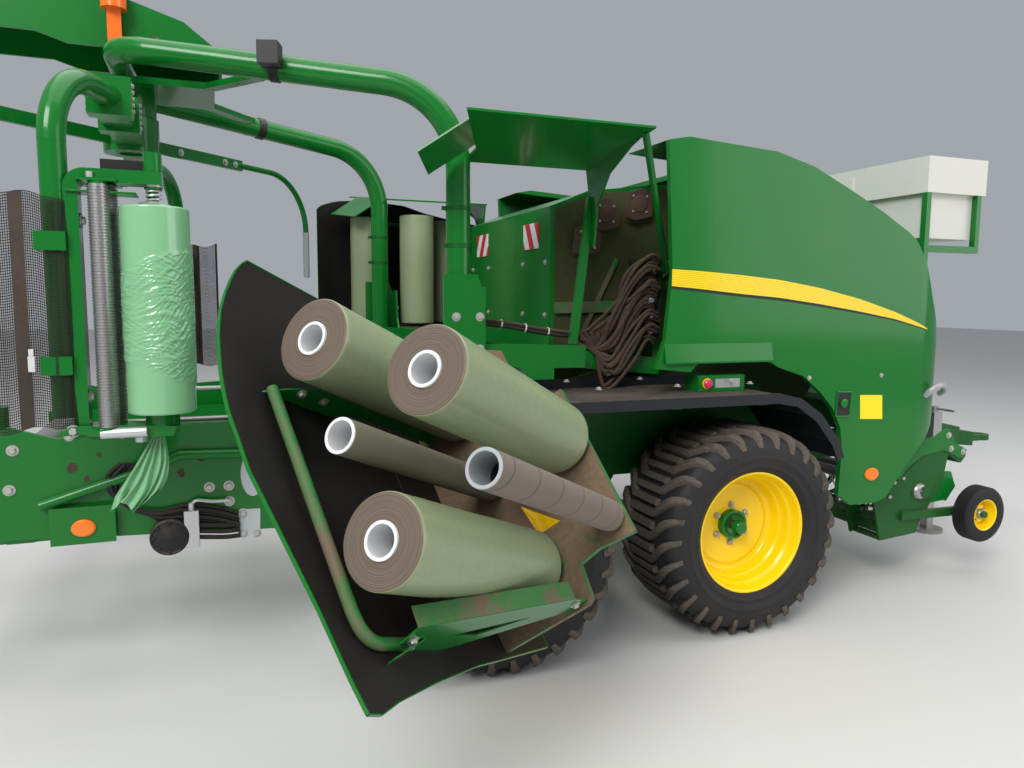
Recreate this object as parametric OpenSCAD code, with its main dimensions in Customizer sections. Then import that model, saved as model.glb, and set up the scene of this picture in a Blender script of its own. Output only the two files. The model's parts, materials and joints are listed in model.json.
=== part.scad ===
// Round baler and bale wrapper in one towed machine, standing on its four wheels and its parking jack.
// Every module is drawn with X forward from midway between the axles, Y to the machine's left and Z up from
// the ground, and place() then moves it so that the origin is the centre of the towing eye.

/* [Running gear] */
// Distance between the two axles
axle_gap = 1289; // [1200:10:1400]
// Radius of a main tyre over its tread
tyre_r = 530; // [510:5:560]
// Width of a main tyre
tyre_w = 508; // [460:4:520]
// Height of a tyre's lugs
lug_h = 26; // [16:1:34]
// Number of lugs on each half of a tyre
lug_n = 16; // [12:1:24]
// Distance of each wheel's middle from the centre plane
wheel_y = 1146; // [1130:2:1170]
// Radius of the rim's flange
rim_r = 306; // [290:2:320]
// Radius of the axle's spindle
spindle_r = 45; // [35:1:55]
// Radius of a gauge wheel
gauge_r = 170; // [150:5:190]
// Width of a gauge wheel's tyre
gauge_w = 110; // [90:5:120]

/* [Bale chamber] */
// Radius of the chamber
chamber_r = 660; // [620:10:680]
// Height of the chamber's middle
chamber_z = 1500; // [1480:10:1540]
// Inner width of the chamber
chamber_w = 1240; // [1200:10:1260]
// Thickness of the chamber's walls
wall_t = 20; // [12:1:24]
// Radius of a chamber roller
roller_r = 70; // [50:5:80]

/* [Body panels] */
// Distance of the front side panel's skin from the centre plane
panel_y = 1200; // [1180:5:1230]
// Thickness of the panel
panel_t = 30; // [20:2:40]
// Radius of the panel's turn towards the machine's nose
nose_r = 420; // [300:20:500]
// Distance of the nose's turn ahead of the middle of the axles
nose_x = 1843; // [1760:1:1900]
// Distance of the mudguard's edge from the centre plane
guard_y = 1385; // [1350:5:1395]
// Height of the mudguard's deck
guard_z = 1225; // [1190:5:1240]
// Thickness of the mudguard
guard_t = 12; // [6:1:20]

/* [Portal and satellite] */
// Outer diameter of the portal's tube
portal_d = 114; // [90:2:120]
// Radius of the portal's upper bend
portal_bend = 380; // [300:10:400]
// Distance of the satellite's axis behind the middle of the axles
hub_back = 2200; // [2150:10:2230]
// Height of the satellite's beam
beam_z = 2480; // [2440:5:2500]
// Outer diameter of a satellite arm
arm_d = 90; // [76:1:110]
// Distance of the film rolls from the satellite's axis
orbit_r = 1286; // [1260:2:1300]
// Outer diameter of a film roll
roll_d = 240; // [180:5:250]
// Length of a film roll
roll_h = 750; // [500:10:760]
// Outer diameter of a film roll's core
core_d = 97; // [86:1:100]
// Inner diameter of a film roll's core
core_bore = 78; // [76:1:80]

/* [Film boxes] */
// Distance of the box's outer row of rolls from the centre plane
row_y = 1240; // [1230:2:1250]
// Clear depth from the box's floor to its roof
box_floor_z = 1480; // [1470:5:1490]
// Thickness of the box's sheet
skin_t = 8; // [4:1:12]
// Diameter of the box's tubes
box_tube = 34; // [25:1:40]
// Radius of the box's rounded rear end
skin_r = 1040; // [900:10:1200]

/* [Table and frame] */
// Height of the main beams' top
beam_top = 900; // [880:10:920]
// Width of a main beam
beam_w = 80; // [60:5:90]
// Radius of a table roller
table_roller_r = 75; // [60:5:85]
// Height of the table rollers' middle
table_z = 960; // [940:5:980]
// Distance of the towing eye ahead of the middle of the axles
eye_x = 3950; // [3800:10:4100]
// Height of the towing eye
eye_z = 600; // [560:10:640]
// Diameter of the towing eye's hole
eye_d = 50; // [40:1:52]
// Thickness of the towing eye
eye_t = 44; // [30:1:50]

/* [Hidden] */
$fn = 48;
eps = 0.01;
run_gap = 0.06;
seat_gap = 0.3;
axle_x = axle_gap / 2;
hub_bore_end = 20;
rim_w = tyre_w - 78;
hub_x = -hub_back;
roll_z = 1255;
roll_top = roll_z + roll_h;
wf_top = beam_top - 100;
wf_bottom = beam_top - 240;
beam_out = 720 + beam_w;
guard_in_y = beam_out + 6 + seat_gap;
front_z = 1060;
portal_rise = 6;
portal_turn = 18;
portal_foot = [-760, -930];
portal_z = 2285;
portal_run = 1050;
portal_back = portal_bend * (1 - cos(90 - portal_rise));
portal_bend_z = portal_z + portal_bend * sin(90 - portal_rise);
portal_corner = 200;
portal_side = [-cos(portal_turn) * cos(portal_rise), sin(portal_turn) * cos(portal_rise), sin(portal_rise)];
portal_slope = atan2(portal_side.z, -portal_side.x);
portal_beta = atan2(portal_side.y, norm([portal_side.x, portal_side.z]));
portal_rear_z = portal_bend_z + portal_run * tan(portal_rise) + portal_corner * (1 - sin(portal_beta)) * sin(portal_slope);
hinge_p = [-895, -1443, 1107];
hinge_tilt = 49;
hinge_a = [cos(hinge_tilt), 0, -sin(hinge_tilt)];
pickup_pivot = [1700, 820];
table_pivot = [-2600, beam_top - 20];
side_roller = [-2290, -2050, -1744];
pto_z = front_z - 10;
pto_r = 17.45;
pto_l = 95;
jack_p = [3050, -330];
hood_y = 740;
panel_hinge = [-770, 2400];
reel_p = [2120, 550];
gauge_p = [2500, 400];
arm_dx = -143;
arm_turn = 20;
arm_bend = 260;
roll_dx = 174;
pivot_pin_r = 60;
swing = 118;
roll_a = [-790, -row_y];
stored_z = 1510;
skin_c = [-640, -422];
skin_y = skin_r - skin_c.y;
hose_r = 8.5;
hose_gap = 20;
wall_y = chamber_w / 2;
gate_y = wall_y + 60;
part_x = 500;
gate_pivot = [620, 2200];
green = "#16752f";
yellow = "#ffde00";
black = "#17181a";
steel = "#9a9c9e";
film = "#9ccfa6";
paper = "#8a7766";
dust = "#6b5a49";

// General shapes

module place() {
    translate([-eye_x, 0, -eye_z]) children();
}

module both() {
    children();
    mirror([0, 1, 0]) children();
}

// A left-hand copy of a shape drawn on the right
module on_side(left) {
    if (left) mirror([0, 1, 0]) children();
    else children();
}

// A plate whose outline lies in X and Z, from y0 - t to y0
module xz(points, y0, t) {
    translate([0, y0, 0]) rotate([90, 0, 0]) linear_extrude(t) polygon(points);
}

// A plate whose outline lies in Y and Z, from x0 to x0 + t
module yz(points, x0, t) {
    translate([x0, 0, 0]) rotate([90, 0, 90]) linear_extrude(t) polygon(points);
}

module bar(p, q, d) {
    v = q - p;
    translate(p) rotate([0, acos(v.z / norm(v)), atan2(v.y, v.x)]) cylinder(d = d, h = norm(v));
}

module tube_path(points, d) {
    for (i = [1:len(points) - 1]) bar(points[i - 1], points[i], d);
    for (i = [1:len(points) - 2]) translate(points[i]) sphere(d = d + 1);
}

// A box-section beam between two points, h high and w wide
module beam(p, q, w, h) {
    v = q - p;
    translate(p) rotate([0, acos(v.z / norm(v)), atan2(v.y, v.x)])
        translate([-h / 2, -w / 2, 0]) cube([h, w, norm(v)]);
}

module y_cyl(x, z, y0, y1, r) {
    translate([x, y0, z]) rotate([-90, 0, 0]) cylinder(r = r, h = y1 - y0);
}

module y_tube(x, z, y0, y1, r, bore) {
    difference() {
        y_cyl(x, z, y0, y1, r);
        y_cyl(x, z, y0 - 1, y1 + 1, bore);
    }
}

module block(x0, x1, y0, y1, z0, z1) {
    translate([x0, y0, z0]) cube([x1 - x0, y1 - y0, z1 - z0]);
}

function arc(cx, cz, r, a0, a1, n) = [for (i = [0:n]) let (a = a0 + (a1 - a0) * i / n) [cx + r * cos(a), cz + r * sin(a)]];

// Running gear

// Tyre with its two rows of slanted lugs, one row half a step ahead of the other
module tyre_at(x, side) {
    w = tyre_w / 2;
    h = rim_w / 2;
    bead = rim_r - 14;
    base = tyre_r - lug_h;
    reach = 80;
    top = sqrt(tyre_r * tyre_r - reach * reach);
    color(black) translate([x, side * wheel_y, tyre_r]) rotate([90, 0, 0]) union() {
        rotate_extrude($fn = 16) polygon([
            [bead, -h + 20.6], [rim_r + 0.5, -h + 15], [rim_r + 0.5, -h - 1], [rim_r + 40, -w + 10],
            [tyre_r - 110, -w], [base - 12, -w + 30], [base, -w + 80],
            [base, w - 80], [base - 12, w - 30], [tyre_r - 110, w], [rim_r + 40, w - 10], [rim_r + 0.5, h + 1],
            [rim_r + 0.5, h - 15], [bead, h - 20.6]
        ]);
        for (s = [-1, 1]) for (i = [0:lug_n - 1]) rotate([0, 0, (i + (s > 0 ? 0.5 : 0)) * 360 / lug_n])
            rotate([0, 90, 0]) translate([0, 0, base - 60]) linear_extrude(top - base + 60)
                polygon([[-s * 5, -reach], [-s * 5, 40 - reach], [s * (14 - w), reach], [s * (14 - w), reach - 46]]);
    }
}

// Rim with its dished disc and hub; side is -1 on the right and 1 on the left
module rim_at(x, side) {
    h = rim_w / 2;
    color(yellow) translate([x, side * wheel_y, tyre_r]) rotate([side < 0 ? 90 : -90, 0, 0]) difference() {
        union() {
            rotate_extrude() polygon([
                [rim_r - 14, -h], [rim_r, -h], [rim_r, -h + 14], [rim_r - 14.5, -h + 20],
                [rim_r - 30, -h + 70], [rim_r - 44, -40], [rim_r - 44, 40], [rim_r - 30, h - 70],
                [rim_r - 14.5, h - 20], [rim_r, h - 14], [rim_r, h], [rim_r - 14, h],
                [rim_r - 24, h - 18], [rim_r - 42, h - 72], [rim_r - 56, 40], [rim_r - 56, -40],
                [rim_r - 42, -h + 72], [rim_r - 24, -h + 18]
            ]);
            rotate_extrude() polygon([
                [0, 30], [rim_r - 90, 30], [rim_r - 50, 24], [rim_r - 50, 8], [rim_r - 92, 14], [0, 14]
            ]);
            translate([0, 0, -240]) cylinder(r = 150, h = 100);
            translate([0, 0, -150]) cylinder(r = 92, h = 190);
            translate([0, 0, 29]) cylinder(r = 76, h = 46);
            translate([0, 0, 74]) cylinder(r = 33, h = 61);
            for (i = [0:5]) rotate([0, 0, i * 60 + 30]) translate([100, 0, 25]) cylinder(r = 13, h = 26);
        }
        translate([0, 0, -241]) cylinder(r = spindle_r + run_gap, h = 241 + hub_bore_end);
    }
}

module axles() {
    bogie_y = 790;
    color(green) {
        block(-60, 60, -bogie_y, bogie_y, tyre_r - 60, tyre_r + 60);
        both() {
            beam([-axle_x, -bogie_y - 25, tyre_r], [axle_x, -bogie_y - 25, tyre_r], 50, 130);
            for (x = [-axle_x, axle_x]) {
                y_cyl(x, tyre_r, -bogie_y - 80, -bogie_y - 20, 80);
                y_cyl(x, tyre_r, -wheel_y - hub_bore_end + seat_gap, -bogie_y - 30, spindle_r);
            }
        }
    }
}

// Drawn along the axis of a film box's hinge
module at_hinge() {
    translate(hinge_p) rotate([0, 90 + hinge_tilt, 0]) children();
}

// Chassis: two main beams, cross members and the walls and arms under the mudguards
module chassis() {
    wall_top = guard_z - guard_t - seat_gap;
    color(green) {
        both() {
            block(-1000, 1900, -beam_out, -720, beam_top - 160, beam_top);
            // Hangers down to the axle tube
            block(-110, 110, -780, -745, tyre_r + 60 + seat_gap, beam_top - 160);
            // Wall behind the wheels and the arms under the mudguard
            block(-860, 1100, -beam_out - 6, -beam_out, beam_top - 100, wall_top);
            for (x = [-500, 200, 700]) block(x, x + 50, -1300, -beam_out, wall_top - 50, wall_top);
            // Skirt between the beam and the wall
            for (x = [-860, 1050]) block(x, x + 50, -beam_out, -beam_out + 40, beam_top - 1, wall_top);
            // Pin that the pickup swings on
            y_cyl(pickup_pivot.x, pickup_pivot.y, -beam_out - 45, -beam_out + 5, 25);
        }
        block(-900, -820, -725, 725, beam_top - 160, beam_top - 20);
        block(1760, 1900, -beam_out, beam_out, beam_top - 1, front_z);
    }
}

// Uprights with the portal's feet, sloping upper rails with the film boxes' latch rails, and the front posts
module upper_frame() {
    foot_z = 1400;
    color(green) both() difference() {
        union() {
            block(-810, -640, -beam_out + seat_gap, -740, beam_top + seat_gap, foot_z);
            block(-850, -640, -1000, -740, foot_z - 40, foot_z);
            // Front and inner plates of the foot
            xz([[-850, foot_z - 30], [-646, foot_z - 30], [-646, 1680], [-685, 1797], [-850, 1797]], -988, 12);
            yz([[-1000, foot_z - 30], [-760, foot_z - 30], [-872, 1545], [-905, 1740], [-1000, 1740]], -658, 12);
            beam([-800, -800, 1450], [400, -800, 1330], 80, 90);
            // Latch rail for the film box
            xz([[-660, foot_z - 2], [-660, 1470], [-381, 1466], [-97, 1453], [-97, 1344], [-434, 1346]], -938, 12);
            block(-381, -97, -950, -835, 1446, 1453);
            block(-434, -269, -950, -900, 1290, 1348);
            for (x = [-430, -110]) block(x, x + 12, -940, -835, 1352, 1440);
            block(380, 430, -beam_out + seat_gap, -760, beam_top + seat_gap, 1880);
        }
        translate([portal_foot.x, portal_foot.y, foot_z - seat_gap]) cylinder(d = portal_d + 2 * seat_gap, h = 500);
    }
}

// Brackets of the film boxes' hinges, under the feet of the portal
module box_hinges() {
    color(green) both() difference() {
        union() {
            at_hinge() cylinder(r = 32, h = 100, center = true);
            beam([-895, -1425, 1125], [-790, -911, 1402], 36, 44);
        }
        block(-900, -600, -1010, -700, 1360 - seat_gap, 1500);
        at_hinge() cylinder(r = 15 + run_gap, h = 200, center = true);
    }
}

module drawbar() {
    root_z = front_z - 75;
    color(green) difference() {
        union() {
            both() beam([1940, -420, root_z], [3560, -70, eye_z + 40], 110, 150);
            block(1900.3, 1990, -560, 560, front_z - 150, front_z);
            beam([3440, 0, eye_z + 40], [3800, 0, eye_z], 150, 110);
            translate([3750, -60, eye_z - eye_t / 2]) cube([200, 120, eye_t]);
            translate([eye_x, 0, eye_z - eye_t / 2]) cylinder(r = 75, h = eye_t);
            block(jack_p.x - 45, jack_p.x + 45, jack_p.y + 40 + seat_gap, -200, 700, 800);
        }
        translate([eye_x, 0, eye_z - 100]) cylinder(d = eye_d, h = 200);
    }
}

module jack() {
    color(steel) translate([jack_p.x, jack_p.y, 0]) {
        translate([-40, -40, 330]) cube([80, 80, 560]);
        translate([-30, -30, 20]) cube([60, 60, 330]);
        cylinder(r = 110, h = 22);
        translate([0, 0, 880]) cylinder(r = 30, h = 50);
        bar([0, 0, 915], [0, -170, 915], 18);
    }
}

module gearbox() {
    color(green) {
        block(1990.3, 2200, -160, 160, front_z - 140, front_z + 120);
        translate([2200, 0, pto_z]) rotate([0, 90, 0]) cylinder(r = 60, h = 60);
        translate([2260, 0, pto_z]) rotate([0, 90, 0]) cylinder(r = pto_r, h = pto_l);
    }
}

// Bale chamber: its fixed front half, with the tailgate's half behind the parting line

module chamber() {
    top = gate_pivot.y + 40;
    color(green) both() {
        xz([[part_x, beam_top + 0.3], [1420, beam_top + 0.3], [1620, 1150], [1560, 1700], [1300, 2050], [1000, 2230],
            [part_x + 200, top + 60], [part_x + 40, top + 60], [part_x, top - 140]], -wall_y, wall_t);
        // Foot on the main beam
        block(part_x, 1420, -760, -wall_y - wall_t, beam_top + seat_gap, beam_top + 60);
        y_cyl(gate_pivot.x, gate_pivot.y, -gate_y - 60, -wall_y, 30);
    }
}

module chamber_rollers() {
    color(steel) for (a = [-62, -38, -14, 10, 34, 58]) {
        y_cyl(part_x + (chamber_r + roller_r) * cos(a), chamber_z + (chamber_r + roller_r) * sin(a) * 0.8,
            -wall_y + seat_gap, wall_y - seat_gap, roller_r);
    }
}

module tailgate() {
    rear = part_x - chamber_r - 20;
    outline = [
        [part_x - 4, 940], [part_x - 4, gate_pivot.y - 130], [700, gate_pivot.y - 60], [720, gate_pivot.y + 60], [620, 2330],
        [50, 2260], [rear, 2170], [rear, 1250], [rear + 120, 1010], [rear + 300, 940]
    ];
    color(green) difference() {
        union() {
            both() xz(outline, -wall_y - wall_t - 8, 22);
            // Rear cover between the side walls
            difference() {
                xz(outline, wall_y + 29, 2 * wall_y + 58);
                xz([for (p = outline) [part_x + 60 + (p.x - part_x - 60) * 0.965, 1560 + (p.y - 1560) * 0.965]], wall_y + 40, 2 * wall_y + 80);
                block(60, 900, -800, 800, 700, 2210);
                block(480, 900, -800, 800, 2200, 2400);
                block(-300, 500, -800, 800, 700, 1000);
            }
            both() for (p = [[20, 2000], [130, 2140], [330, 2200], [150, 1500]])
                y_cyl(p.x, p.y, -wall_y - 90, -wall_y - 40, 60);
        }
        both() y_cyl(gate_pivot.x, gate_pivot.y, -900, -wall_y, 30 + run_gap);
    }
}

module marker_boards() {
    rear = part_x - chamber_r - 20;
    color("white") for (s = [-1, 1])
        translate([rear - 3.3, s * 420 - 110, 1960]) cube([3, 220, 140]);
}

// Front cover between the side panels
module front_hood() {
    front = [[1890, 1910], [1940, 1700], [1990, 1440], [1990, 1160], [1960, 1160], [1960, 1440], [1910, 1690], [1865, 1890]];
    wide = panel_y - 120;
    color(green) {
        xz(concat([[760, 2440], [1070, 2375], [1310, 2275], [1560, 2165], [1750, 2055]], front,
            [[1730, 2030], [1545, 2135], [1300, 2245], [1065, 2345], [760, 2410]]), hood_y, 2 * hood_y);
        // Wider towards the nose, between the side panels
        xz(concat([[1800, 2003]], front, [[1780, 1978]]), wide, 2 * wide);
        both() {
            block(900, 1000, -wall_y - wall_t - seat_gap - 10, -wall_y - wall_t - seat_gap, 2100, 2400);
            // Pin and ears that a side panel hangs on
            translate([790, panel_hinge.x, panel_hinge.y]) rotate([0, 90, 0]) cylinder(r = 10, h = 110);
            block(790, 798, panel_hinge.x - 8, -hood_y + 5, 2390, 2430);
            block(892, 900, panel_hinge.x - 8, -hood_y + 5, 2390, 2410);
        }
    }
}

// Region inside the panel's skin in plan: straight along the side, then turning in round the nose
module panel_plan(inset) {
    translate([0, inset - panel_y]) square([nose_x, panel_y - inset - 700]);
    intersection() {
        translate([nose_x, nose_r - panel_y]) circle(r = nose_r - inset);
        translate([nose_x - 1, inset - panel_y - 1]) square([nose_r, nose_r]);
    }
}

// Side panel with its wheel arch
module panel(left) {
    top = [[200, 2440], [310, 2462], [830, 2430], [1070, 2372], [1310, 2272], [1560, 2160], [1750, 2060]];
    front = [[1806, 2020], [1889, 1907], [1976, 1697], [2060, 1560], [2116, 1440], [2130, 1288], [2132, 1087], [2073, 966],
        [1877, 813], [1786, 703], [1684, 578], [1596, 556], [1430, 560], [1340, 624]];
    arch = [[1350, 880], [1330, 1000], [1270, 1110], [1180, 1200], [1060, 1290], [900, 1340], [840, 1370]];
    rear = [[410, 1380], [360, 1330], [160, 1350], [210, 1490], [240, 1810]];
    inner = [for (i = [6:-1:1]) top[i] - [0, 30]];
    color(green) on_side(left) {
        intersection() {
            xz(concat(top, front, arch, rear), -700, 600);
            difference() {
                linear_extrude(3000) panel_plan(0);
                translate([-1, 1, -1]) linear_extrude(3002) panel_plan(panel_t);
                block(-5, nose_x, -panel_y + panel_t, -600, -5, 3010);
            }
        }
        // Band that flares out along the lower edge
        yz([[-panel_y + 2, 1480], [-panel_y - 20, 1382], [-panel_y - 20, 1374], [-panel_y + 2, 1374]], 205, 640);
        // Shoulder along the top, out to the hinge
        xz(concat(top, inner), -800, panel_y - 800 - 5);
        difference() {
            union() {
                translate([800, panel_hinge.x, panel_hinge.y]) rotate([0, 90, 0]) cylinder(r = 20, h = 90);
                block(800, 890, -815, panel_hinge.x - 5, 2392, 2408);
            }
            translate([799, panel_hinge.x, panel_hinge.y]) rotate([0, 90, 0]) cylinder(r = 10 + run_gap, h = 92);
        }
    }
}

// Mudguard over both wheels of a side, with its deck, its edge and the strip along its inner side
module mudguard(left) {
    rear = -720;
    color(black) on_side(left) {
        xz([[rear, guard_z], [760, guard_z], [890, guard_z - 30], [1020, 1110], [1140, 970], [1180, 880],
            [1180 - guard_t, 876], [1130 - guard_t, 962], [1012, 1098], [884, guard_z - 43], [760, guard_z - guard_t], [rear, guard_z - guard_t]],
            -guard_in_y, guard_y - guard_in_y);
        xz([[rear, guard_z + 5], [762, guard_z + 5], [894, guard_z - 25], [1026, 1115], [1147, 974], [1189, 882],
            [1146, 866], [1106, 948], [993, 1080], [872, guard_z - 66], [754, guard_z - 45], [rear, guard_z - 45]],
            -guard_y + 12, 12);
        block(rear, 760, -guard_in_y - 8, -guard_in_y, guard_z - 2, guard_z + 50);
    }
}

module roof(left) {
    inner = [-690, -800, 2340];
    corner = [-692, -992];
    outer = [-880, -1450, 2425];
    slope = (outer.z - inner.z) / (inner.y - outer.y);
    bend = [corner.x, corner.y, inner.z + slope * (inner.y - corner.y)];
    edge = outer - bend;
    plan = [[-690, 0], [corner.x, corner.y - inner.y], [outer.x, outer.y - inner.y], [-20, outer.y - inner.y], [-20, 0]];
    post_y = -840 - 15 - seat_gap;
    color(green) on_side(left) {
        // Sheet rising outwards, with its rear lip bent down
        translate([0, inner.y, inner.z]) rotate([-atan(slope), 0, 0]) linear_extrude(10) polygon(plan);
        translate(bend) rotate([0, -asin(edge.z / norm(edge)), atan2(edge.y, edge.x)]) rotate([33, 0, 0])
            translate([60, -250, 1]) cube([norm(edge) - 170, 253, 7]);
        // Curved bracket and post at its front end
        yz([[-800, 2345], [-1380, 2418], [-1250, 2380], [-1050, 2290], [-930, 2150], [-900, 1950], [-841, 1950], [-841, 2200]], -40, 12);
        beam([-36, post_y, 2200], [-125, post_y, 1457], 30, 40);
        // Strut from its front outer corner to the post behind the side panel
        tube_path([[-36, -1380, 2421], [408, -872, 1840], [408, -beam_out, 1840]], 34);
    }
}

// Portal: one tube bent into a loop that carries the satellite; its rear part lies in a sloping plane
module portal() {
    side = portal_side;
    run = portal_run / cos(portal_rise);
    start = [portal_foot.x - portal_back * cos(portal_turn), portal_foot.y + portal_back * sin(portal_turn), portal_bend_z];
    end = start + run * side;
    centre = portal_corner * [sin(portal_beta), cos(portal_beta), 0];
    color(green) {
        both() {
            translate([portal_foot.x, portal_foot.y, 1400]) cylinder(d = portal_d, h = portal_z + 3 - 1400);
            translate([portal_foot.x, portal_foot.y, portal_z]) rotate([0, 0, -portal_turn]) translate([-portal_bend, 0, 0])
                rotate([90, 0, 0]) rotate_extrude(angle = 90 - portal_rise) translate([portal_bend, 0]) circle(d = portal_d + 1);
            bar(start - 3 * side, end + 3 * side, portal_d);
            translate(end) rotate([0, portal_slope, 0]) translate(centre) rotate([0, 0, 180])
                rotate_extrude(angle = 90 - portal_beta) translate([portal_corner, 0]) circle(d = portal_d + 1);
        }
        half = -end.y - centre.y + 3;
        translate(end) rotate([0, portal_slope, 0]) translate([centre.x - portal_corner, centre.y - 3, 0]) rotate([-90, 0, 0])
            cylinder(d = portal_d, h = 2 * half);
    }
}

module satellite_mount() {
    top = portal_rear_z - portal_d / 2 - seat_gap;
    low = beam_z + 95;
    color(green) {
        block(hub_x - 150, hub_x + 400, -220, 220, top - 30, top);
        translate([hub_x, 0, low]) cylinder(r = 120, h = top - 20 - low);
        translate([hub_x, 0, beam_z - 60]) cylinder(r = pivot_pin_r, h = 180);
        both() beam([hub_x + 380, -210, top - 15], [hub_x + 600, -500, top - 15], 60, 28);
    }
}

module hub_cover() {
    low = portal_rear_z + portal_d / 2 + seat_gap;
    color(green) difference() {
        xz([[-3000, 3060], [-2700, 3070], [-2230, 3090], [-1930, 3000], [-1760, 2870], [-1760, low], [-2430, low], [-2560, low + 40], [-3000, low + 40]],
            240, 480);
        xz([[-2985, 3040], [-2700, 3050], [-2240, 3070], [-1940, 2982], [-1775, 2860], [-1775, 2700], [-2985, 2700]], 225, 450);
    }
}

module beacon() {
    low = portal_rear_z + portal_d / 2 + seat_gap;
    color("#ff7a10") translate([hub_x - 25, -300, 0]) {
        translate([0, 0, 3000]) cylinder(r = 55, h = 60);
        translate([0, 0, 3060]) cylinder(r1 = 48, r2 = 40, h = 100);
        block(-30, 30, -6, 6, low, 3001);
    }
}

module work_lamps() {
    along = [-cos(portal_turn), sin(portal_turn), tan(portal_rise)];
    start = [portal_foot.x, portal_foot.y, portal_bend_z] + portal_back * [along.x, along.y, 0];
    mid = start + 480 * along;
    color(black) both() difference() {
        union() {
            bar(mid - 20 * along, mid + 20 * along, portal_d + 12);
            translate(mid) rotate([0, 0, -portal_turn]) translate([-45, -portal_d / 2 - 95, -20]) cube([90, 92, 95]);
        }
        bar(mid - 140 * along, mid + 140 * along, portal_d + 2 * seat_gap);
    }
}

module wrapper_frame() {
    side_y = beam_out + 90;
    color(green) {
        both() {
            block(-3050, -1000.3, -beam_out, -720, wf_bottom, wf_top);
            xz([[-2700, 700], [-1450, 640], [-1450, 860], [-1600, 1096], [-1724, 1150], [-2066, 1130], [-2256, 1120], [-2454, 1105],
                [-2620, 1160], [-2690, 1130], [-2720, 900]], 20 - side_y, 20);
            for (x = [-2650, -1620]) block(x, x + 100, 10 - side_y, -beam_out + 5, 680, 760);
            // Bent tube on the side plate, and the plate of its reflector
            tube_path([[-2520, -side_y - 15, 835], [-2126, -side_y - 15, 955], [-1992, -side_y - 15, 1011], [-1680, -side_y - 15, 1001]], 42);
            block(-2486, -2246, -side_y - 44, -side_y - 39, 670, 825);
            block(-2400, -2340, -side_y - 40, -side_y + 5, 700, 740);
            difference() {
                block(-2680, -2520, -760, -722, wf_top - 5, table_pivot.y + 50);
                y_cyl(table_pivot.x, table_pivot.y, -800, -700, 30 + run_gap);
            }
        }
        block(-3050, -2970, -725, 725, wf_bottom, wf_top - 20);
        block(-1320, -1240, -725, 725, wf_bottom, wf_top - 20);
    }
}

module rear_lamps() {
    color("#b01c10") both() {
        block(-3110, -3050.3, -1150, -740, 680, 780);
    }
}

module tank() {
    color("white") {
        block(2200, 2690, -900, 900, 2345, 2560);
        block(2235, 2620, -860, 860, 2075, 2346);
    }
}

module tank_frame() {
    color(green) {
        both() {
            block(2200, 2235 - seat_gap, -900, -862, 1250, 2344.7);
            block(2620 + seat_gap, 2655, -900, -862, 1990, 2344.7);
            block(2200, 2655, -900, -862, 1990, 2030);
            block(2200, 2280, -780, -700, 850, 1340);
            block(1900.3, 2280, -780, -730, 850, 900);
        }
        block(2200, 2234, -900, 900, 2040, 2074.7);
        block(2200, 2280, -900, 900, 1250, 1340);
    }
}

// Valve block on the front post, behind the side panel
module valve_block() {
    color(black) {
        block(240, 379.7, -870, -765, 1480, 1900);
        for (z = [1500:80:1820]) block(262, 340, -895, -869, z, z + 46);
    }
}

// Hoses from the valve block along the upper rail, up the portal's post and along its tube to the hub

function spline(p, n) = concat([for (i = [0:len(p) - 2]) for (k = [0:n - 1])
    let (a = p[max(i - 1, 0)], b = p[i], c = p[i + 1], d = p[min(i + 2, len(p) - 1)], t = k / n)
    0.5 * (2 * b + t * (c - a) + t * t * (2 * a - 5 * b + 4 * c - d) + t * t * t * (3 * b - a - 3 * c + d))], [p[len(p) - 1]]);

module sweep(p, r, sides) {
    n = len(p);
    along = [for (i = [0:n - 1]) let (v = p[min(i + 1, n - 1)] - p[max(i - 1, 0)]) v / norm(v)];
    side = [for (d = along) let (v = cross(d, [1, 1, 1])) v / norm(v)];
    polyhedron(
        points = [for (i = [0:n - 1]) for (k = [0:sides - 1])
            p[i] + r * (cos(k * 360 / sides) * side[i] + sin(k * 360 / sides) * cross(along[i], side[i]))],
        faces = concat([[for (k = [0:sides - 1]) k]], [[for (k = [sides - 1:-1:0]) (n - 1) * sides + k]],
            [for (i = [0:n - 2]) for (k = [0:sides - 1]) let (m = (k + 1) % sides)
                [i * sides + k, (i + 1) * sides + k, (i + 1) * sides + m, i * sides + m]]));
}

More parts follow.
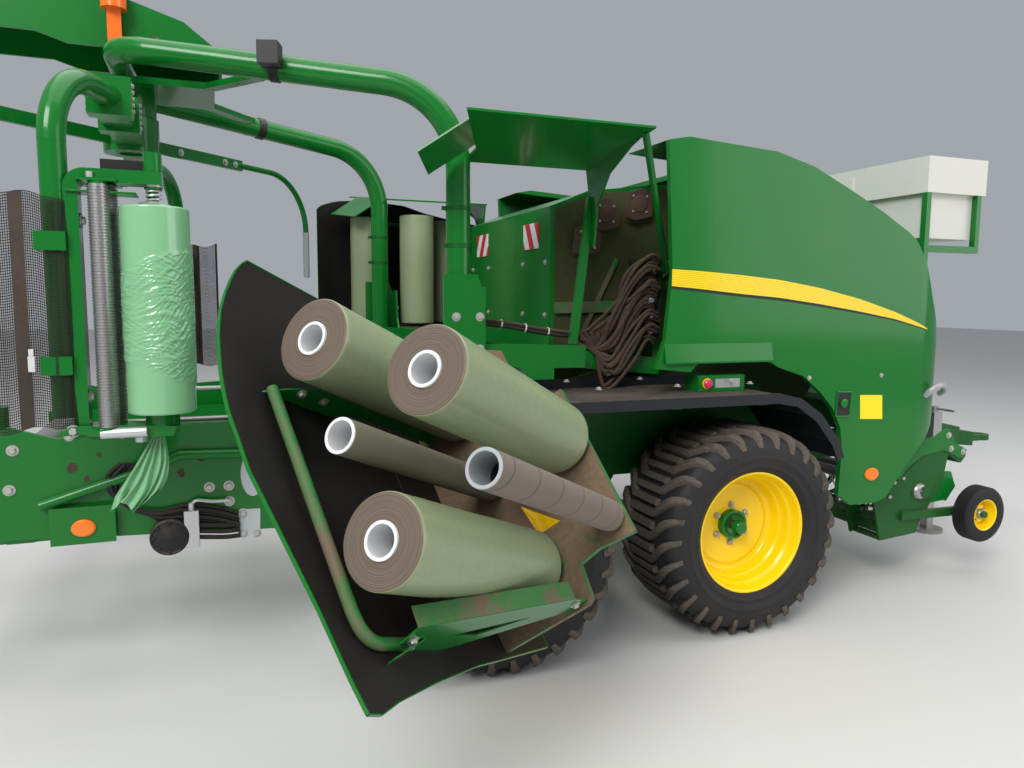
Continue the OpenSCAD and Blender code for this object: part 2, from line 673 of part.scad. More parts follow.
module hoses() {
    heads = [
        [[300, -898.5, 1840], [297, -912, 1842], [262, -920, 1835], [205, -915, 1785], [150, -900, 1725], [95, -878, 1655], [20, -845, 1572]],
        [[300, -898.5, 1760], [297, -912, 1762], [262, -920, 1755], [200, -915, 1712], [140, -898, 1658], [80, -870, 1590], [10, -835, 1532]],
        [[235, -855, 1570], [218, -855.5, 1566], [190, -858, 1540], [130, -855, 1486], [50, -842, 1470], [-5, -826, 1478]],
        [[235, -835, 1520], [216, -835.5, 1515], [185, -838, 1490], [120, -834, 1446], [45, -822, 1438], [-8, -806, 1462]]
    ];
    trunk = [[-60, -806, 1500], [-190, -806, 1512], [-300, -806, 1526], [-440, -806, 1552], [-560, -810, 1566], [-660, -822, 1580],
        [-730, -840, 1630], [-755, -850, 1720], [-758, -850, 1900], [-758, -850, 2100]];
    off = 80;
    out = off * [sin(portal_turn), cos(portal_turn), 0];
    bend = [for (a = [0:21:84]) let (b = portal_bend * (1 - cos(a)))
        [portal_foot.x - b * cos(portal_turn), portal_foot.y + b * sin(portal_turn), portal_z + portal_bend * sin(a)] + out];
    last = bend[len(bend) - 1];
    run = [for (t = [300, 560, 800]) last + t * portal_side];
    close = [last + 930 * portal_side + [20, 60, 30], [hub_x + 170, -330, portal_rear_z + 70], [hub_x + 140, -245.5, portal_rear_z + 110]];
    color(black) for (i = [0:3]) {
        shift = hose_gap / 2 * [0, i % 2 == 0 ? -1 : 1, i < 2 ? 1 : -1];
        turned = hose_gap / 2 * [i < 2 ? 1 : -1, i % 2 == 0 ? -1 : 1, 0];
        over = hose_gap / 2 * [0, i % 2 == 0 ? -1 : 1, i < 2 ? 1 : -1];
        sweep(concat(spline(concat(heads[i], [for (k = [0:len(trunk) - 1]) trunk[k] + (k < 6 ? shift : turned)]), 2),
            [for (k = [0:4]) bend[k] + (k < 2 ? turned : over)], [for (q = concat(run, [close[0], close[1]])) q + over],
            [close[2] + [over.y, 0, over.z]]), hose_r, 8);
    }
}

module control_box() {
    color(green) block(420, 700, -1180, -1060, guard_z + seat_gap, guard_z + 80);
}

// Pickup with its tined reel and gauge wheels

// Pickup: its two sides, then the bands around its reel
module pickup() {
    color(green) both() {
        xz([[1640, 860], [1740, 900], [1950, 640], [2240, 850], [2310, 900], [2480, 740], [2440, 700], [2330, 760],
            [2290, 560], [2150, 400], [2100, 290], [1820, 270], [1740, 560], [1640, 760]], -1040, 16);
        // Arm on the chassis pin
        difference() {
            xz([[1650, 860], [1750, 860], [1900, 310], [1820, 260]], -beam_out - 15, 20);
            y_cyl(pickup_pivot.x, pickup_pivot.y, -900, -700, 25 + run_gap);
            y_cyl(1860, 330, -900, -700, 30 + seat_gap);
            block(1840 - seat_gap, 1960, -900, -700, 320 - seat_gap, 375 + seat_gap);
        }
        block(1828, 1892, -1041, -beam_out - 14, 268, 284);
        // Arm and pin of a gauge wheel
        beam([1960, -1065, 410], [gauge_p.x, -1065, gauge_p.y], 30, 50);
        y_cyl(gauge_p.x, gauge_p.y, -1200, -1060, 20);
        y_cyl(gauge_p.x, gauge_p.y, -1092, -1045, 38);
        // Bearing pin of the reel
        y_cyl(reel_p.x, reel_p.y, -1050, -1000, 25);
        y_cyl(reel_p.x, reel_p.y, -1100, -1050, 34);
    }
}

module pickup_bands() {
    end = 1040 - seat_gap;
    color(green) {
        y_cyl(1860, 330, -end, end, 30);
        y_cyl(2445, 715, -end, end, 18);
        for (i = [0:15]) translate([0, -960 + i * 128, 0]) difference() {
            union() {
                y_cyl(reel_p.x, reel_p.y, -25, 25, 190);
                block(1840, 2060, -25, 25, 320, 375);
            }
            y_cyl(reel_p.x, reel_p.y, -26, 26, 182);
            block(1700, 2040, -60, 60, 390, 800);
        }
    }
}

module tine_reel() {
    color(steel) difference() {
        union() {
            y_cyl(reel_p.x, reel_p.y, -1030, 1030, 60);
            for (i = [0:14]) for (k = [0:4]) translate([reel_p.x, -896 + i * 128, reel_p.y])
                rotate([0, k * 72, 0]) translate([-5, -5, 50]) cube([10, 10, 200]);
        }
        both() y_cyl(reel_p.x, reel_p.y, -1031, -995, 25 + run_gap);
    }
}

module gauge_wheel_at(side) {
    color(black) translate([gauge_p.x, side * 1150, gauge_p.y]) rotate([90, 0, 0]) difference() {
        rotate_extrude($fn = 14) polygon([[21, -40], [60, -40], [90, -gauge_w / 2], [gauge_r - 20, -gauge_w / 2], [gauge_r, -gauge_w / 2 + 22],
            [gauge_r, gauge_w / 2 - 22], [gauge_r - 20, gauge_w / 2], [90, gauge_w / 2], [60, 40], [21, 40]]);
        translate([0, 0, -60]) cylinder(r = 20 + run_gap, h = 120);
    }
}

// Satellite: beam with two arms, each with a film dispenser

module satellite_arm() {
    drop = beam_z - arm_bend;
    color(green) translate([arm_dx, -orbit_r, 0]) {
        translate([0, 0, 1250]) cylinder(d = arm_d, h = drop - 1250 + 3);
        rotate([0, 0, -arm_turn]) {
            translate([0, arm_bend, drop]) rotate([0, -90, 0]) rotate([0, 0, -90])
                rotate_extrude(angle = 90) translate([arm_bend, 0]) circle(d = arm_d + 1);
            translate([0, arm_bend - 3, beam_z]) rotate([-90, 0, 0]) cylinder(d = arm_d, h = 240);
        }
    }
}

module satellite() {
    rod = 34;
    rod_bend = 340;
    translate([hub_x, 0, 0]) difference() {
        union() {
            color(green) {
                block(-60, 60, -900, 900, beam_z - 58, beam_z + 58);
                translate([0, 0, beam_z - 80]) cylinder(r = 130, h = 170);
            }
            for (s = [0, 180]) rotate([0, 0, s]) {
                satellite_arm();
                color(green) {
                    // Clamps that hold the arm in the beam
                    for (y = [-900, -560]) block(-82, 82, y, y + 90, beam_z - 76, beam_z + 76);
                    // Safety arm ahead of the film
                    rotate([0, 0, 45]) {
                        block(90, 760, -12, 12, beam_z - 50, beam_z + 10);
                        translate([700, 0, beam_z - 20]) rotate([0, 90, 0]) cylinder(d = rod, h = 303);
                        translate([1000, 0, beam_z - 20 - rod_bend]) rotate([90, 0, 0])
                            rotate_extrude(angle = 90) translate([rod_bend, 0]) circle(d = rod + 1);
                        translate([1000 + rod_bend, 0, 1820]) cylinder(d = rod, h = beam_z - 20 - rod_bend - 1820 + 3);
                    }
                }
            }
        }
        translate([0, 0, beam_z - 100]) cylinder(r = pivot_pin_r + run_gap, h = 240);
    }
}

// Film dispenser: a bent frame clamped to the arm, with its two pre-stretch rollers and the spindle of the roll
module dispenser(left) {
    low = 1205;
    top = 2130;
    corner = 70;
    stem = [-112, -66];
    color(green) translate([hub_x, 0, 0]) rotate([0, 0, left ? 180 : 0]) translate([0, -orbit_r, 0]) {
        // Frame with its rounded upper corner and its clamps, grooved for the arm
        difference() {
            union() {
                block(stem.x, stem.y, -40, 40, low - 10, top - corner);
                translate([stem.x + corner, 0, top - corner]) rotate([90, 0, 0]) linear_extrude(80, center = true) intersection() {
                    difference() {
                        circle(r = corner);
                        circle(r = corner - 46);
                    }
                    translate([-corner - 1, -1]) square(corner + 1);
                }
                for (z = [1405, 1840]) block(arm_dx - 62, stem.x + 5, -62, 62, z, z + 66);
            }
            translate([arm_dx, 0, low - 60]) cylinder(d = arm_d + 2 * seat_gap, h = top - low + 80);
        }
        block(stem.x + corner - 1, 205, -40, 40, top - 46, top);
        xz([[-160, low], [-130, low - 35], [210, low - 35], [225, low], [60, low + 12], [-80, low + 12]], 60, 120);
        translate([roll_dx, 0, low - 5]) cylinder(r = 60, h = roll_z - low + 5 - seat_gap);
        translate([roll_dx, 0, low - 5]) cylinder(r = core_bore / 2 - 1.5, h = 120);
        translate([roll_dx, 0, roll_top - 45]) cylinder(r = core_bore / 2 - 1.5, h = 60);
        translate([roll_dx, 0, roll_top + seat_gap]) cylinder(r = 55, h = 12);
        // Sprung spindle and its sleeve
        translate([roll_dx, 0, roll_top + 10]) cylinder(r = 17, h = top - roll_top - 12);
        translate([roll_dx, 0, top - 60]) cylinder(r = 31, h = 130);
        for (p = [[-2, -45], [12, 95]]) translate([p.x, p.y, low - 1]) cylinder(r = 30, h = top - 45 - low + 1);
        block(-70, 60, -75, 135, low - 22, low);
        block(-70, 60, -75, 135, top - 46, top - 36);
    }
}

// Film hanging from a dispenser
module film_tail(left) {
    color(film) translate([hub_x, 0, 0]) rotate([0, 0, left ? 180 : 0])
        xz([[125, 1169.7], [185, 1169.7], [170, 1040], [140, 905], [-15, 905], [40, 1040]], 4 - orbit_r, 3);
}

module film_roll(left) {
    color(film) translate([hub_x, 0, 0]) rotate([0, 0, left ? 180 : 0]) translate([roll_dx, -orbit_r, roll_z]) difference() {
        cylinder(d = roll_d, h = roll_h);
        translate([0, 0, -1]) cylinder(d = core_bore, h = roll_h + 2);
    }
}

// Wrapping table

module table() {
    color(green) {
        both() {
            beam([-2750, -640, table_z - 20], [-1500, -640, table_z - 20], 30, 160);
            y_cyl(table_pivot.x, table_pivot.y, -755, -630, 30);
            block(-2660, -2540, -655, -625, table_pivot.y - 40, table_z - 20);
            for (x = [-2700, -1700]) translate([x, -690, table_z]) cylinder(r = 45, h = 260);
            for (x = [-2700, -1700]) block(x - 50, x + 50, -690, -650, table_z - 20, table_z + 20);
            // Stands of the side rollers
            for (x = side_roller) block(x - 12, x, -668, -636, table_z + 50, table_z + 190);
        }
        block(-2200, -2120, -640, 640, table_z - 90, table_z - 30);
    }
}

module table_rollers() {
    color(steel) {
        for (x = [-2620, -1620]) y_cyl(x, table_z, -625 + seat_gap, 625 - seat_gap, table_roller_r);
        both() for (i = [0:len(side_roller) - 2])
            translate([side_roller[i] + seat_gap, -652, table_z + 165]) rotate([0, 90, 0])
                cylinder(r = 14, h = side_roller[i + 1] - side_roller[i] - 12 - 2 * seat_gap);
    }
}

// Film boxes: closed against the machine on the left, swung down and open on the right

stored = [
    // x and y from the first roll, and whether film is left on the core
    [0, 0, true], [300, 272, true], [316, -12, false], [614, 312, false], [622, 0, true]
];
module box_pose(left) {
    if (left) mirror([0, 1, 0]) children();
    else translate(hinge_p) rotate(a = swing, v = hinge_a) translate(-hinge_p) children();
}

// Region inside the box's skin in plan
module skin_plan(inset) {
    intersection() {
        union() {
            translate(skin_c) circle(r = skin_r - inset);
            polygon([[skin_c.x, 2 + inset - skin_y], [-300, 2 + inset - skin_y], [201, 34 + inset - skin_y], [201, -1240], [skin_c.x, -1240]]);
        }
        translate([-1300 - inset, -1600]) square([1500 + 2 * inset, 350 + inset]);
    }
}

// Channel from the end of the box's tube down to its floor: web across, flange towards the rolls
module box_channel(x, web, edge) {
    yz(web, x, 5);
    v = edge[1] - edge[0];
    translate([x - 52, edge[0].x, edge[0].y]) rotate([atan2(v.y, v.x), 0, 0]) translate([0, -3, -2.2]) cube([54, norm(v) + 7, 5]);
}

module film_box(left) {
    outline = concat(arc(-900, 2110, 288, 185, 90, 8), [[-740, 2380], [-456, 2368], [-190, 2312], [-20, 2270], [160, 2245], [165, 2200], [140, 2120],
        [100, 1930], [60, 1690], [45, 1540], [5, 1170], [-60, 1165], [-950, 1200], [-1187, 1460]]);
    color(dust) box_pose(left) {
        intersection() {
            xz(outline, -1200, 400);
            difference() {
                linear_extrude(3000) skin_plan(0);
                translate([0, 0, -1]) linear_extrude(3002) skin_plan(skin_t);
            }
        }
        // Floor tray
        translate([0, 0, box_floor_z]) linear_extrude(skin_t) difference() {
            polygon([[-940, -1413], [-820, -1442], [-700, 6 - skin_y], [-300, 6 - skin_y], [20, 26 - skin_y], [20, -1118], [8, -1100],
                [-100, -1088], [-112, -1010], [-100, -885], [-640, -885], [-640, -1010], [-900, -1010], [-940, -1060]]);
            polygon([[-364, -1189], [-249, -1084], [-247, -1170]]);
        }
        // Pegs that the rolls stand on
        for (s = stored) translate([roll_a.x + s.x, roll_a.y + s.y, box_floor_z + 1]) {
            cylinder(r = 40, h = stored_z - box_floor_z - 1 - seat_gap);
            cylinder(r = core_bore / 2 - 2, h = 150);
        }
        // Tube along the top, and the channels from its ends down to the floor
        translate([24, 0, 0]) {
            bar([-776, 38 - skin_y, 2245], [-94, 48 - skin_y, 2207], box_tube);
            translate([-97, 48 - skin_y, 2132]) rotate([90, 0, 0]) rotate_extrude(angle = 90) translate([75, 0]) circle(d = box_tube + 1);
            bar([-22, 48 - skin_y, 2135], [-22, 48 - skin_y, 2030], box_tube);
        }
        box_channel(6, [[-1437, 2085], [-1385, 2085], [-1310, 2115], [-1113, 1588], [-1113, box_floor_z + 4], [-1175, box_floor_z + 4], [-1437, 1850]],
            [[-1310, 2115], [-1113, 1588]]);
        box_channel(-755, [[-1452, 2262], [-1400, 2190], [-1366, 2100], [-1366, box_floor_z + 4], [-1408, box_floor_z + 4], [-1408, 1880], [-1452, 1990]],
            [[-1366, 2100], [-1366, box_floor_z + 4]]);
        // Leg down to the hinge, with its two ears and the pin between them
        beam([-955, -1400, 1495], [-888, -1466, 1213], 40, 60);
        at_hinge() {
            cylinder(r = 15, h = 140, center = true);
            for (z = [-69, 55]) translate([-75, -50, z]) cube([100, 75, 14]);
            translate([-76, -50, -69]) cube([20, 50, 138]);
        }
    }
}

module stored_film(left) {
    color(film) box_pose(left) for (s = stored) if (s[2])
        translate([roll_a.x + s.x, roll_a.y + s.y, stored_z]) difference() {
            cylinder(d = roll_d, h = roll_h);
            translate([0, 0, -1]) cylinder(d = core_d + 2 * seat_gap, h = roll_h + 2);
        }
}

module stored_cores(left) {
    color(paper) box_pose(left) for (s = stored)
        translate([roll_a.x + s.x, roll_a.y + s.y, stored_z]) difference() {
            cylinder(d = core_d, h = roll_h + 10);
            translate([0, 0, -1]) cylinder(d = core_bore, h = roll_h + 20);
        }
}

place() chassis();
place() upper_frame();
place() box_hinges();
place() axles();
place() drawbar();
place() jack();
place() chamber();
place() chamber_rollers();
place() gearbox();
place() front_hood();
place() mudguard(false);  // mudguard_right
place() mudguard(true);  // mudguard_left
place() roof(false);  // roof_right
place() roof(true);  // roof_left
place() portal();
place() satellite_mount();
place() hub_cover();
place() beacon();
place() work_lamps();
place() wrapper_frame();
place() rear_lamps();
place() tank();
place() tank_frame();
place() valve_block();
place() hoses();
place() control_box();
place() tyre_at(axle_x, -1);  // tyre_front_right
place() tyre_at(-axle_x, -1);  // tyre_rear_right
place() tyre_at(axle_x, 1);  // tyre_front_left
place() tyre_at(-axle_x, 1);  // tyre_rear_left
place() rim_at(axle_x, -1);  // rim_front_right
place() rim_at(-axle_x, -1);  // rim_rear_right
place() rim_at(axle_x, 1);  // rim_front_left
place() rim_at(-axle_x, 1);  // rim_rear_left
place() pickup();
place() pickup_bands();
place() tine_reel();
place() gauge_wheel_at(-1);  // gauge_wheel_right
place() gauge_wheel_at(1);  // gauge_wheel_left
place() panel(false);  // panel_right
place() panel(true);  // panel_left
place() tailgate();
place() marker_boards();
place() satellite();
place() dispenser(false);  // dispenser_right
place() dispenser(true);  // dispenser_left
place() film_tail(false);  // film_tail_right
place() film_tail(true);  // film_tail_left
place() film_roll(false);  // film_roll_right
place() film_roll(true);  // film_roll_left
place() table();
place() table_rollers();
place() film_box(false);  // film_box_right
place() stored_film(false);  // stored_film_right
place() stored_cores(false);  // stored_cores_right
place() film_box(true);  // film_box_left
place() stored_film(true);  // stored_film_left
place() stored_cores(true);  // stored_cores_left
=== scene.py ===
"""Round baler and bale wrapper: materials, fine pieces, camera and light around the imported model."""
import json
import math
import random

import bmesh
import bpy
from mathutils import Matrix, Vector, noise


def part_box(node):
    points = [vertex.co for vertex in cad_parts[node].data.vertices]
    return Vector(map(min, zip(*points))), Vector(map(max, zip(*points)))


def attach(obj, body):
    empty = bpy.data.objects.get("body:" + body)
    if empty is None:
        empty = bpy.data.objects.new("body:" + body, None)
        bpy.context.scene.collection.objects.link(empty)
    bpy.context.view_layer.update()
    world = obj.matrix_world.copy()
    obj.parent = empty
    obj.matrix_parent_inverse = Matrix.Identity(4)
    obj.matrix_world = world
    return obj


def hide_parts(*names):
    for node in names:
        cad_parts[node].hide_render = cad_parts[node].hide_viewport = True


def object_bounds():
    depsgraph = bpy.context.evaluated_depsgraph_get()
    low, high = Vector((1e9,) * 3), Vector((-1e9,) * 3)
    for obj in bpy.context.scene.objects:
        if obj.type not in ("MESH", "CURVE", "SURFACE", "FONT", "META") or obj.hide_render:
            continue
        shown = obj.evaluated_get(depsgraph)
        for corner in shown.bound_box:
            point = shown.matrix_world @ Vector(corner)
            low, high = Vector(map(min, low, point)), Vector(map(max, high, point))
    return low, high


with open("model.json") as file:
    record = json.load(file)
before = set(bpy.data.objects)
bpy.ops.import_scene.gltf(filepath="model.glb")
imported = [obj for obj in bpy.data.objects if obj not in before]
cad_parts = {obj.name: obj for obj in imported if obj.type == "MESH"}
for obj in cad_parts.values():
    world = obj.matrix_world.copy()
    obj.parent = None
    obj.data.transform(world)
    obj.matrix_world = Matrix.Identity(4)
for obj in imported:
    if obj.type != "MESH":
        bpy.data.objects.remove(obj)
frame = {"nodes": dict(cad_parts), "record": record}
CAD_BOX = [list(v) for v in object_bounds()]
NODES = frame["nodes"]
random.seed(7)

# The CAD model's origin is the towing eye; EYE moves ground coordinates into that frame
EYE = Vector((3.95, 0.0, 0.6))
GROUND = Matrix.Translation(-EYE)


def at(x, y, z):
    """A point of the ground frame in the model's frame."""
    return Vector((x, y, z)) - EYE


# Camera, solved from the photograph
SENSOR_MM, WIDTH_PX, FOCAL_PX = 36, 1024, 768.57


def make_camera():
    yaw, pitch, roll = math.radians(20.928), math.radians(-6.277), math.radians(0.414)
    forward = Vector((math.sin(yaw) * math.cos(pitch), math.cos(yaw) * math.cos(pitch), math.sin(pitch)))
    right = Vector((math.cos(yaw), -math.sin(yaw), 0))
    up = right.cross(forward)
    right2 = right * math.cos(roll) + up * math.sin(roll)
    up2 = -right * math.sin(roll) + up * math.cos(roll)
    data = bpy.data.cameras.new("camera")
    data.sensor_width = SENSOR_MM
    data.lens = FOCAL_PX / WIDTH_PX * SENSOR_MM
    cam = bpy.data.objects.new("camera", data)
    bpy.context.collection.objects.link(cam)
    m = Matrix((right2, up2, -forward)).transposed().to_4x4()
    m.translation = at(-1.8224, -4.4278, 1.6824)
    cam.matrix_world = m
    bpy.context.scene.camera = cam


def make_light():
    bpy.context.scene.view_settings.view_transform = "Standard"
    world = bpy.data.worlds.new("studio")
    bpy.context.scene.world = world
    world.use_nodes = True
    back = world.node_tree.nodes["Background"]
    back.inputs[0].default_value = (0.82, 0.87, 0.94, 1)
    back.inputs[1].default_value = 0.44
    for name, place, size, energy, aim in (
        ("key", (-7, -9, 9), 5, 1250, (0, 0, 1)),
        ("top", (0, 0, 10), 12, 800, (0, 0, 0)),
        ("fill", (8, -7, 4), 6, 240, (0, 0, 1)),
    ):
        data = bpy.data.lights.new(name, "AREA")
        data.size = size
        data.energy = energy
        lamp = bpy.data.objects.new(name, data)
        bpy.context.collection.objects.link(lamp)
        lamp.location = at(*place)
        lamp.rotation_euler = (at(*aim) - at(*place)).to_track_quat("-Z", "Y").to_euler()


# Materials

def ramp(tree, stops, fac):
    node = tree.nodes.new("ShaderNodeValToRGB")
    elements = node.color_ramp.elements
    while len(elements) < len(stops):
        elements.new(0.5)
    for e, (pos, col) in zip(elements, stops):
        e.position = pos
        e.color = (*col, 1) if len(col) == 3 else col
    tree.links.new(fac, node.inputs["Fac"])
    return node.outputs["Color"]


def noise_node(tree, scale, detail=4, rough=0.55, stretch=None):
    coord = tree.nodes.new("ShaderNodeTexCoord")
    out = coord.outputs["Object"]
    if stretch:
        mapping = tree.nodes.new("ShaderNodeMapping")
        mapping.inputs["Scale"].default_value = stretch
        tree.links.new(out, mapping.inputs["Vector"])
        out = mapping.outputs["Vector"]
    n = tree.nodes.new("ShaderNodeTexNoise")
    n.inputs["Scale"].default_value = scale
    n.inputs["Detail"].default_value = detail
    n.inputs["Roughness"].default_value = rough
    tree.links.new(out, n.inputs["Vector"])
    return n.outputs["Fac"]


def math_node(tree, op, a, b=None, clamp=False):
    n = tree.nodes.new("ShaderNodeMath")
    n.operation = op
    n.use_clamp = clamp
    for i, v in enumerate((a, b)):
        if v is None:
            continue
        if isinstance(v, (int, float)):
            n.inputs[i].default_value = v
        else:
            tree.links.new(v, n.inputs[i])
    return n.outputs[0]


def add(tree, a, b, clamp=False):
    return math_node(tree, "ADD", a, b, clamp)


def sub(tree, a, b, clamp=False):
    return math_node(tree, "SUBTRACT", a, b, clamp)


def mul(tree, a, b, clamp=False):
    return math_node(tree, "MULTIPLY", a, b, clamp)


def larger(tree, a, b):
    return math_node(tree, "MAXIMUM", a, b)


def below(tree, a, b):
    return math_node(tree, "LESS_THAN", a, b)


def above(tree, a, b, clamp=False):
    return math_node(tree, "GREATER_THAN", a, b, clamp)


def noise_patches(tree, scale, detail, rough, start, steep):
    """Blotches from 0 to 1 where a noise lies above start, with edges as sharp as steep says."""
    return mul(tree, sub(tree, noise_node(tree, scale, detail, rough), start), steep, True)


def mix_color(tree, fac, a, b):
    n = tree.nodes.new("ShaderNodeMix")
    n.data_type = "RGBA"
    for key, v in (("Factor", fac), ("A", a), ("B", b)):
        s = [i for i in n.inputs if i.name == key and i.type == ("VALUE" if key == "Factor" else "RGBA")][0]
        if isinstance(v, (int, float)):
            s.default_value = v
        elif isinstance(v, tuple):
            s.default_value = (*v, 1)
        else:
            tree.links.new(v, s)
    return [o for o in n.outputs if o.type == "RGBA"][0]


def split_xyz(tree, what):
    coord = tree.nodes.new("ShaderNodeTexCoord")
    sep = tree.nodes.new("ShaderNodeSeparateXYZ")
    tree.links.new(coord.outputs[what], sep.inputs[0])
    return sep.outputs


def material(name, color, rough, metal=0.0, coat=0.0, dust=(0.26, 0.2, 0.145), dusty=0.0, low=0.0, spread=0.12,
             grain=60.0, bump=0.0, bump_scale=200.0, rough_var=0.12, spec=0.5, streak=None, all_over=0.25,
             change=None):
    """A procedural finish: colour with slight variation, dust that settles on top faces and low down, fine bump.
    change, a function of the tree, the colour and the roughness, may add what one surface alone has."""
    mat = bpy.data.materials.new(name)
    mat.use_nodes = True
    tree = mat.node_tree
    bsdf = tree.nodes["Principled BSDF"]
    bsdf.inputs["Metallic"].default_value = metal
    bsdf.inputs["Specular IOR Level"].default_value = spec
    bsdf.inputs["Coat Weight"].default_value = coat
    bsdf.inputs["Coat Roughness"].default_value = 0.08
    broad = noise_node(tree, 3.0, 5, stretch=streak)
    fine = noise_node(tree, grain, 3, 0.6)
    var = mul(tree, sub(tree, broad, 0.5), spread * 2)
    dark = tuple(c * 0.72 for c in color)
    light = tuple(min(1.0, c * 1.22 + 0.004) for c in color)
    base = ramp(tree, [(0.0, dark), (0.5, color), (1.0, light)], add(tree, var, 0.5, True))
    if dusty or low:
        up = mul(tree, larger(tree, split_xyz(tree, "Normal")["Z"], 0.0), dusty)
        height = mul(tree, sub(tree, 0.55, split_xyz(tree, "Object")["Z"]), low, True)
        amount = add(tree, add(tree, up, height), dusty * all_over)
        patches = mul(tree, sub(tree, add(tree, broad, fine), 0.55), 1.6, True)
        fac = mul(tree, amount, patches, True)
        base = mix_color(tree, fac, base, dust)
        roughness = add(tree, mul(tree, fac, 0.5), rough, True)
    else:
        roughness = add(tree, mul(tree, sub(tree, fine, 0.5), rough_var), rough, True)
    if change:
        base, roughness = change(tree, base, roughness)
    tree.links.new(base, bsdf.inputs["Base Color"])
    tree.links.new(roughness, bsdf.inputs["Roughness"])
    if bump:
        b = tree.nodes.new("ShaderNodeBump")
        b.inputs["Strength"].default_value = bump
        b.inputs["Distance"].default_value = 0.002
        tree.links.new(noise_node(tree, bump_scale, 4, 0.6), b.inputs["Height"])
        tree.links.new(b.outputs["Normal"], bsdf.inputs["Normal"])
    return mat


def roll_ends(tree, base, rough):
    """Dust on a roll's end faces, with the rings of its layers; the roll stands on local Z from 0 to 0.75 m."""
    out = split_xyz(tree, "Object")
    r = math_node(tree, "SQRT", add(tree, math_node(tree, "POWER", out["X"], 2.0),
                                    math_node(tree, "POWER", out["Y"], 2.0)))
    ring_noise = tree.nodes.new("ShaderNodeTexNoise")
    ring_noise.noise_dimensions = "1D"
    ring_noise.inputs["Scale"].default_value = 520
    ring_noise.inputs["Detail"].default_value = 3
    tree.links.new(r, ring_noise.inputs["W"])
    ring = ramp(tree, [(0.3, (0.06, 0.041, 0.028)), (0.5, (0.115, 0.082, 0.058)), (0.75, (0.2, 0.155, 0.11))],
                ring_noise.outputs["Fac"])
    ends = add(tree, above(tree, out["Z"], 0.7485), below(tree, out["Z"], 0.0015), True)
    patch = noise_patches(tree, 9, 4, 0.55, 0.3, 1.8)
    colour = mix_color(tree, mul(tree, patch, 0.35), ring, (0.16, 0.12, 0.085))
    return mix_color(tree, ends, base, colour), larger(tree, rough, mul(tree, ends, 0.8))


def card_spiral(tree, base, rough):
    """Dark joint lines that wind round a cardboard core."""
    out = split_xyz(tree, "Object")
    angle = math_node(tree, "DIVIDE", math_node(tree, "ARCTAN2", out["Y"], out["X"]), 2 * math.pi)
    turn = math_node(tree, "FRACT", add(tree, mul(tree, out["Z"], 7.5), angle))
    line = below(tree, turn, 0.05)
    return mix_color(tree, mul(tree, line, 0.75), base, (0.07, 0.07, 0.068)), rough


def worn_edges(tree, base, rough):
    """Paint worn through to dust in patches."""
    worn = noise_patches(tree, 7, 5, 0.7, 0.47, 7.0)
    return mix_color(tree, worn, base, (0.15, 0.105, 0.07)), larger(tree, rough, mul(tree, worn, 0.7))


def rust_spots(tree, base, rough):
    """Rust that has come through in spots."""
    spots = noise_patches(tree, 14, 6, 0.7, 0.56, 9.0)
    return mix_color(tree, spots, base, (0.1, 0.035, 0.018)), larger(tree, rough, mul(tree, spots, 0.8))


def board_stripes(tree, base, rough):
    """Slanting red stripes of a marker board, drawn across the machine."""
    out = split_xyz(tree, "Object")
    along = add(tree, math_node(tree, "ABSOLUTE", out["Y"]), mul(tree, out["Z"], 0.55))
    red = below(tree, math_node(tree, "FRACT", mul(tree, along, 7.4)), 0.5)
    return mix_color(tree, red, base, (0.52, 0.012, 0.02)), rough


def green_patches(tree, base, rough):
    """Paint left in patches on a worn sheet."""
    left = noise_patches(tree, 4.5, 5, 0.6, 0.6, 12.0)
    return mix_color(tree, left, base, (0.012, 0.14, 0.035)), rough


